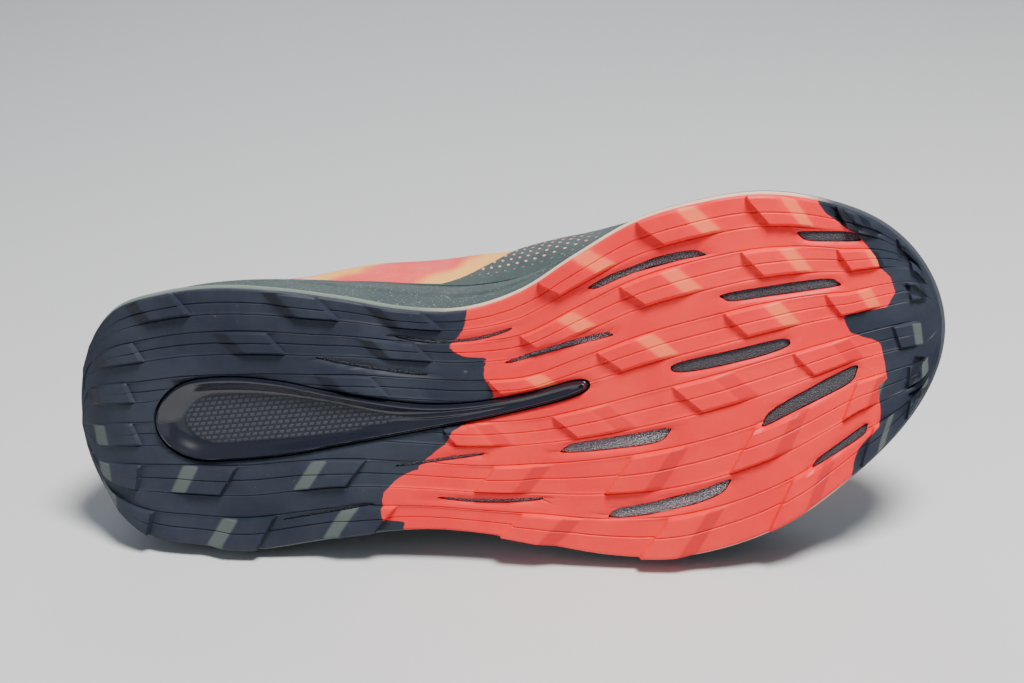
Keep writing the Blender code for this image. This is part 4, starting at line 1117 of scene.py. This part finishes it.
def make_stitches():
    """Short threads, four corners round, that dip into the film at both ends."""
    t = np.array([0, 0.25, 0.75, 1.0])
    width = THREAD * np.array([0.4, 1, 1, 0.4])
    raise_by = np.array([-0.0001, 0.0003, 0.0003, -0.0001])
    corner = [(1, 0), (0, 0.8), (-1, 0), (0, -0.8)]
    grids = []
    for level in STITCH_LEVELS:
        line, normal = (values[THROAT] for values in on_facing(level))
        run = lengths(line)
        count = int(run[-1] / STITCH_STEP)
        starts = (np.arange(count) + 0.2) / count * run[-1]
        a = between(starts, run, line)
        b = between(starts + STITCH_LENGTH, run, line)
        n = between(starts, run, normal)
        side = unit(np.cross(b - a, n))
        core = a[:, None] + (b - a)[:, None] * t[:, None] + n[:, None] * raise_by[:, None]
        grids.append(np.stack([core + side[:, None] * (w * width)[:, None]
                               + n[:, None] * (h * width)[:, None] for w, h in corner], 2))
    points = np.concatenate(grids).reshape(-1, 3)
    faces = []
    for first in range(0, len(points), 16):
        faces += quads(4, 4, True, first).tolist()
        faces += [tuple(range(first, first + 4)), tuple(range(first + 12, first + 16))]
    thread = Finish("stitch thread", roughness=0.8).finish((0.24, 0.26, 0.28))
    piece("eyestay_stitches", points, faces, thread, "lace_cord", sharp=80)


def make_eyelets():
    """A ring turned from its profile round each punched hole."""
    skin, out = throat_ribs([EYELET_LEVEL - 0.02, EYELET_LEVEL, EYELET_LEVEL + 0.02])
    count = 24
    angle = np.linspace(0, 2 * math.pi, count, endpoint=False)
    last = (len(EYELET) - 1) * count
    grids, faces, first = [], [], 0
    for k in EYELETS + [LOOP - k for k in EYELETS]:
        n = out[1, k]
        centre = skin[1, k] + (GAP + OVERLAY) * n
        run = unit(skin[1, (k + 1) % LOOP] - skin[1, k - 1])
        rim = np.cos(angle)[:, None] * run + np.sin(angle)[:, None] * np.cross(n, run)
        grids.append(np.stack([centre + rim * r + n * h for r, h in EYELET]))
        faces += quads(len(EYELET), count, True, first).tolist()
        a, b = first + np.arange(count), first + (np.arange(count) + 1) % count
        faces += np.stack([a, b, b + last, a + last], -1).tolist()
        first += len(EYELET) * count
    ring_metal = Finish("eyelet ring", roughness=0.35).finish((0.035, 0.04, 0.05))
    piece("eyelet_rings", np.concatenate(grids).reshape(-1, 3), faces, ring_metal, "eyestay_film",
          sharp=60)


make_facing()
make_stitches()
make_eyelets()


# Cuff: foam padding under a soft knit, sewn inside the collar and rolled over its edge. It is
# crowned by formula and not by cloth simulation, because its outer face must stay on the shell.
CUFF_PAD = 0.0062
CUFF_ROLL = 0.0020


def lining_knit(name, rgb):
    """Soft ribbed knit."""
    look = Finish(name, roughness=0.9, sheen=0.6)
    where = look.place()
    tint = look.mix(look.step(look.noise(where, 240, 4, 0.7), 0.3, 0.7), rgb,
                    tuple(1.7 * c for c in rgb))
    return look.finish(tint, None, look.bump(look.cells(where, 1100, 0.6), 0.0003, 0.8))


def make_cuff():
    """A crowned pad: its thickness follows a sine up the collar and fades at both ends."""
    around = np.arange(-COLLAR_END + 6, COLLAR_END - 5)
    count = len(around)
    low = RAND_SHARE + (STAY_SHARE - RAND_SHARE) * 2 / 3
    rows = np.linspace(0, 1, 26)[:, None]
    skin = ribs(low + (1 - low) * rows)
    out = facing(skin)
    lining = (skin - UPPER_WALL * out)[:, around]
    out = out[:, around]
    fade = ease(0, 10, np.arange(count)) * ease(0, 10, np.arange(count)[::-1])
    crown = np.sin(math.pi * (0.06 + 0.80 * rows)) ** 0.8
    seam = 1 - 0.25 * np.exp(-((rows - 0.30) / 0.03) ** 2)
    pad = CUFF_PAD * (crown * seam) * (0.25 + 0.75 * fade)
    outside = lining - GAP * out
    inside = outside - pad[..., None] * out
    rise = unit(lining[-1] - lining[-3])
    middle = (outside[-1] + inside[-1]) / 2
    half = (outside[-1] - inside[-1]) / 2
    bead = [middle + half * math.cos(a) + rise * CUFF_ROLL * math.sin(a)
            for a in np.linspace(0, math.pi, 9)[1:-1]]
    profile = np.concatenate([outside, np.stack(bead), inside[::-1]])
    faces = quads(len(profile), count).tolist()
    run = np.arange(count - 1)
    last = (len(profile) - 1) * count
    faces += np.stack([run, run + 1, last + run + 1, last + run], -1).tolist()
    end = np.arange(len(profile)) * count
    faces += [tuple(end), tuple(end + count - 1)]
    cuff = piece("collar_cuff", profile.reshape(-1, 3), faces,
                 lining_knit("cuff knit", (0.020, 0.023, 0.033)), "lining_knit", "cuff", sharp=60)


make_cuff()


# Tongue: a thin padded strip under the throat, edged with a bound seam. It is sewn in under
# the vamp and rises above the top eyelets.
TONGUE_THICKNESS = 0.0042
TONGUE_EDGE = 0.0016
TONGUE_CROWN = 0.0030
TONGUE_RISE = 0.022
TONGUE_CURL = 0.007
TONGUE_BACK = 0.6
# Width of the head, as shares of the throat's, at shares of its rise
TONGUE_WIDTHS = (0, 0.5, 0.85, 1.0), (0.86, 0.95, 0.94, 0.84)
VAMP_STATIONS = 24


def tongue_lines():
    """Top face of the tongue: lines from side to side, each from lining to lining."""
    skin, out = throat_ribs(np.linspace(0, 1, 9))
    side = skin - UPPER_WALL * out - 2 * GAP * out
    last = STATIONS - VAMP_STATIONS
    s = np.linspace(0, 1, 9)[1:-1, None]
    lines = []
    for k in range(COLLAR_END, last + 1, 2):
        here, there = side[:, k], side[:, LOOP - k]
        bridge = here[-1] + (there[-1] - here[-1]) * s
        crown = TONGUE_CROWN * (last - k) / (last - COLLAR_END)
        bridge[:, 2] += crown * np.sin(math.pi * s[:, 0])
        lines.append(np.concatenate([here, bridge, there[::-1]]))
    left, right = side[-1, COLLAR_END], side[-1, LOOP - COLLAR_END]
    across = np.linspace(0, 1, len(lines[0]))
    arch = np.sin(math.pi * across)
    head = []
    for up in np.linspace(1, 0, 12):
        row = left + (right - left) * across[:, None]
        row[:, 1] *= np.interp(up, *TONGUE_WIDTHS)
        row[:, 2] += TONGUE_RISE * up + TONGUE_CROWN * arch
        row[:, 0] += TONGUE_CURL * arch * up - TONGUE_BACK * TONGUE_RISE * up
        head.append(row)
    return np.stack(head + lines[1:])


def make_tongue():
    """The strip with a crowned back, thickest along its middle."""
    top = tongue_lines()
    out = facing(top, around=False)
    out *= np.sign(np.sum(out[:, 9:12, 2]))
    t = np.linspace(-1, 1, top.shape[1])
    thick = TONGUE_EDGE + (TONGUE_THICKNESS - TONGUE_EDGE) * (1 - t ** 4)
    ends = 0.6 + 0.4 * ease(0, 3, np.arange(len(top)))
    points, faces = shell(top, top - (ends[:, None] * thick)[..., None] * out, False)
    tongue = piece("tongue_pad", points, faces, lining_knit("tongue knit", (0.030, 0.034, 0.045)),
                   "lining_knit", "tongue", sharp=60)


make_tongue()


# Lace: one flat woven cord. A bar joins the lowest eyelets, five crossings climb the throat,
# and its ends tuck in behind the top eyelets.
LACE_WIDTH = 0.0062
LACE_THICKNESS = 0.0016
LACE_RISE = TONGUE_CROWN + 0.0012
LACE_OVER = 0.0014


def lace_cord():
    """Flat woven cord with a herringbone of fine ribs."""
    look = Finish("lace cord", roughness=0.8, sheen=0.3)
    u, v = look.parts(look.place("weave"))[:2]
    rib = look.math("SINE", (u + look.math("ABSOLUTE", v)) * 55.0)
    tint = look.mix(look.step(rib, -0.6, 0.6), (0.045, 0.050, 0.062), (0.12, 0.13, 0.15))
    return look.finish(tint, None, look.bump(rib, 0.0002, 0.8))


def make_lace():
    """Runs that dip into their eyelets, lie on the facing and span the throat.

    A run is a cubic through nine places. Its section is a flat rounded bar, narrower and a
    little thicker at both ends.
    """
    skin, out = throat_ribs([0.40, EYELET_LEVEL, 0.75, 1.0])
    level = [1, 1, 2, 3]
    height = np.array([-0.0012, OVERLAY + 0.0006, OVERLAY + 0.0016, OVERLAY + 0.0018])[:, None]
    steps, corners = 34, 16
    angle = np.linspace(0, 2 * math.pi, corners, endpoint=False)
    wide = np.sign(np.cos(angle)) * abs(np.cos(angle)) ** 0.6
    thick = np.sign(np.sin(angle)) * abs(np.sin(angle)) ** 0.8
    pairs = [(EYELETS[0], EYELETS[0])]
    for low, high in zip(EYELETS, EYELETS[1:]):
        pairs += [(low, high), (high, low)]
    grids, faces, maps, first = [], [], [], 0
    for number, (here, there) in enumerate(pairs):
        ups = [out[level, here], out[level, LOOP - there]]
        ends = [skin[level, here] + height * ups[0], skin[level, LOOP - there] + height * ups[1]]
        middle = (ends[0][-1] + ends[1][-1]) / 2
        middle[2] += LACE_RISE + LACE_OVER * (number % 2)
        path = np.concatenate([ends[0], [middle], ends[1][::-1]])
        run = lengths(path)
        at = np.linspace(0, run[-1], steps)
        fine = np.column_stack([smooth(run, column, at) for column in path.T])
        up = between(at, run, np.concatenate([ups[0], [(0, 0, 1)], ups[1][::-1]]))
        along = unit(np.gradient(fine, axis=0))
        side = unit(np.cross(along, up))
        up = np.cross(side, along)
        share = (at / run[-1])[:, None]
        pinch = 0.55 + 0.45 * ease(0, 0.12, share) * ease(0, 0.12, 1 - share)
        beside = LACE_WIDTH / 2 * wide * pinch
        above = LACE_THICKNESS / 2 * thick / pinch ** 0.5
        grid = fine[:, None] + side[:, None] * beside[..., None] + up[:, None] * above[..., None]
        grids.append(grid.reshape(-1, 3))
        faces += quads(steps, corners, True, first).tolist()
        start = first + np.arange(corners)
        faces += [tuple(start), tuple(start + (steps - 1) * corners)]
        weave = np.broadcast_arrays(at[:, None] * 100, wide * 0.3)
        maps.append(np.stack(weave, -1).reshape(-1, 2))
        first += steps * corners
    piece("lace_runs", np.concatenate(grids), faces, lace_cord(), "lace_cord", "lace",
          maps={"weave": np.concatenate(maps)}, sharp=70)


make_lace()


# Insole: a thin foam board faced with knit, loose in the cup. It follows the footbed and dips
# under heel and ball.
INSOLE_THICKNESS = 0.004


def make_insole():
    """Rings from the edge to the middle, above and below, the top edge rounded."""
    inset = RIM_LEAN + RIM_LIP - FLARE + CUP_DRAFT + UPPER_WALL + 3 * GAP
    levels = [(0.0, 0.0), (0.0, 0.75), (0.0008, 0.95), (0.0020, 1.0)]
    rings = [ring(inset + move, FOOTBED + GAP + INSOLE_THICKNESS * up) for move, up in levels]
    piece("insole_board", np.concatenate(rings), closed_rings(len(rings)),
          lining_knit("insole knit", (0.05, 0.055, 0.065)), "insole_board", "insole", sharp=50)


make_insole()


# Floor and light: a plain pale floor, a soft key high above the toe, a cool fill from the heel, a
# weak lamp behind the camera and one from behind the shoe.
LAMPS = [
    ("key", (0.36, -0.36, 1.30), 0.45, 38.0, (1.0, 0.95, 0.89)),
    ("fill", (-1.3, -1.0, 0.55), 1.2, 3.0, (0.80, 0.90, 1.0)),
    ("front", (0.2, -1.9, 0.35), 1.4, 2.0, (1.0, 0.98, 0.96)),
    ("back", (-0.4, 1.3, 0.9), 1.0, 5.0, (0.92, 0.96, 1.0)),
]
FLOOR_BEND = 1.5


def make_stage():
    """The floor, its curve up behind the shoe, and the lamps."""
    bend = np.linspace(0.1, math.pi / 2, 16)
    depth = np.concatenate([np.linspace(-4, 1.2, 20), 1.2 + FLOOR_BEND * np.sin(bend)])
    height = np.concatenate([np.zeros(20), FLOOR_BEND - FLOOR_BEND * np.cos(bend)])
    grid = np.array([[(x, y, z) for y, z in zip(depth, height)] for x in np.linspace(-4, 4, 12)])
    mesh = bpy.data.meshes.new("floor")
    mesh.from_pydata(grid.reshape(-1, 3).tolist(), [], quads(*grid.shape[:2]).tolist())
    mesh.shade_smooth()
    look = Finish("floor paint", roughness=0.7)
    mesh.materials.append(look.finish((0.62, 0.64, 0.67)))
    floor = bpy.data.objects.new("floor", mesh)
    bpy.context.scene.collection.objects.link(floor)
    for name, place, size, power, rgb in LAMPS:
        lamp = bpy.data.lights.new(name, "AREA")
        lamp.shape = "DISK"
        lamp.size = size
        lamp.energy = power
        lamp.color = rgb
        holder = bpy.data.objects.new(name, lamp)
        holder.location = place
        aim = Vector((0, 0, 0.05)) - Vector(place)
        holder.rotation_euler = aim.to_track_quat("-Z", "Y").to_euler()
        bpy.context.scene.collection.objects.link(holder)
    world = bpy.data.worlds.new("room")
    world.use_nodes = True
    colour, strength = world.node_tree.nodes["Background"].inputs[:2]
    colour.default_value = (0.75, 0.80, 0.88, 1)
    strength.default_value = 0.24
    bpy.context.scene.world = world


make_stage()


# Camera: below the sole of the standing shoe, 8 degrees to its inner side and 12 degrees to its
# toe, 565 mm away, rolled so that the shoe's length rises 5.5 degrees to the right.
AIM = np.array([0.158, -0.016, 0.0])
EYE_DISTANCE = 0.565
YAW, PITCH, ROLL = map(math.radians, (12, 8, 5.5))


def make_camera():
    """Camera turned so that the shoe's length runs as in the photograph."""
    away = np.array([math.sin(YAW) * math.cos(PITCH), -math.sin(PITCH),
                     -math.cos(YAW) * math.cos(PITCH)])
    eye = AIM + EYE_DISTANCE * away
    length = unit(np.array([1.0, 0, 0]) - away * away[0])
    upright = np.cross(away, length)
    right = math.cos(ROLL) * length - math.sin(ROLL) * upright
    up = math.sin(ROLL) * length + math.cos(ROLL) * upright
    world = STANDING.T @ np.stack([right, up, away], 1)
    matrix = Matrix([[*world[i], laid(eye[None])[0][i]] for i in range(3)] + [[0, 0, 0, 1]])
    lens = bpy.data.cameras.new("camera")
    lens.lens = 62
    lens.sensor_width = 36
    lens.clip_start = 0.01
    camera = bpy.data.objects.new("camera", lens)
    camera.matrix_world = matrix
    bpy.context.scene.collection.objects.link(camera)
    bpy.context.scene.camera = camera


make_camera()
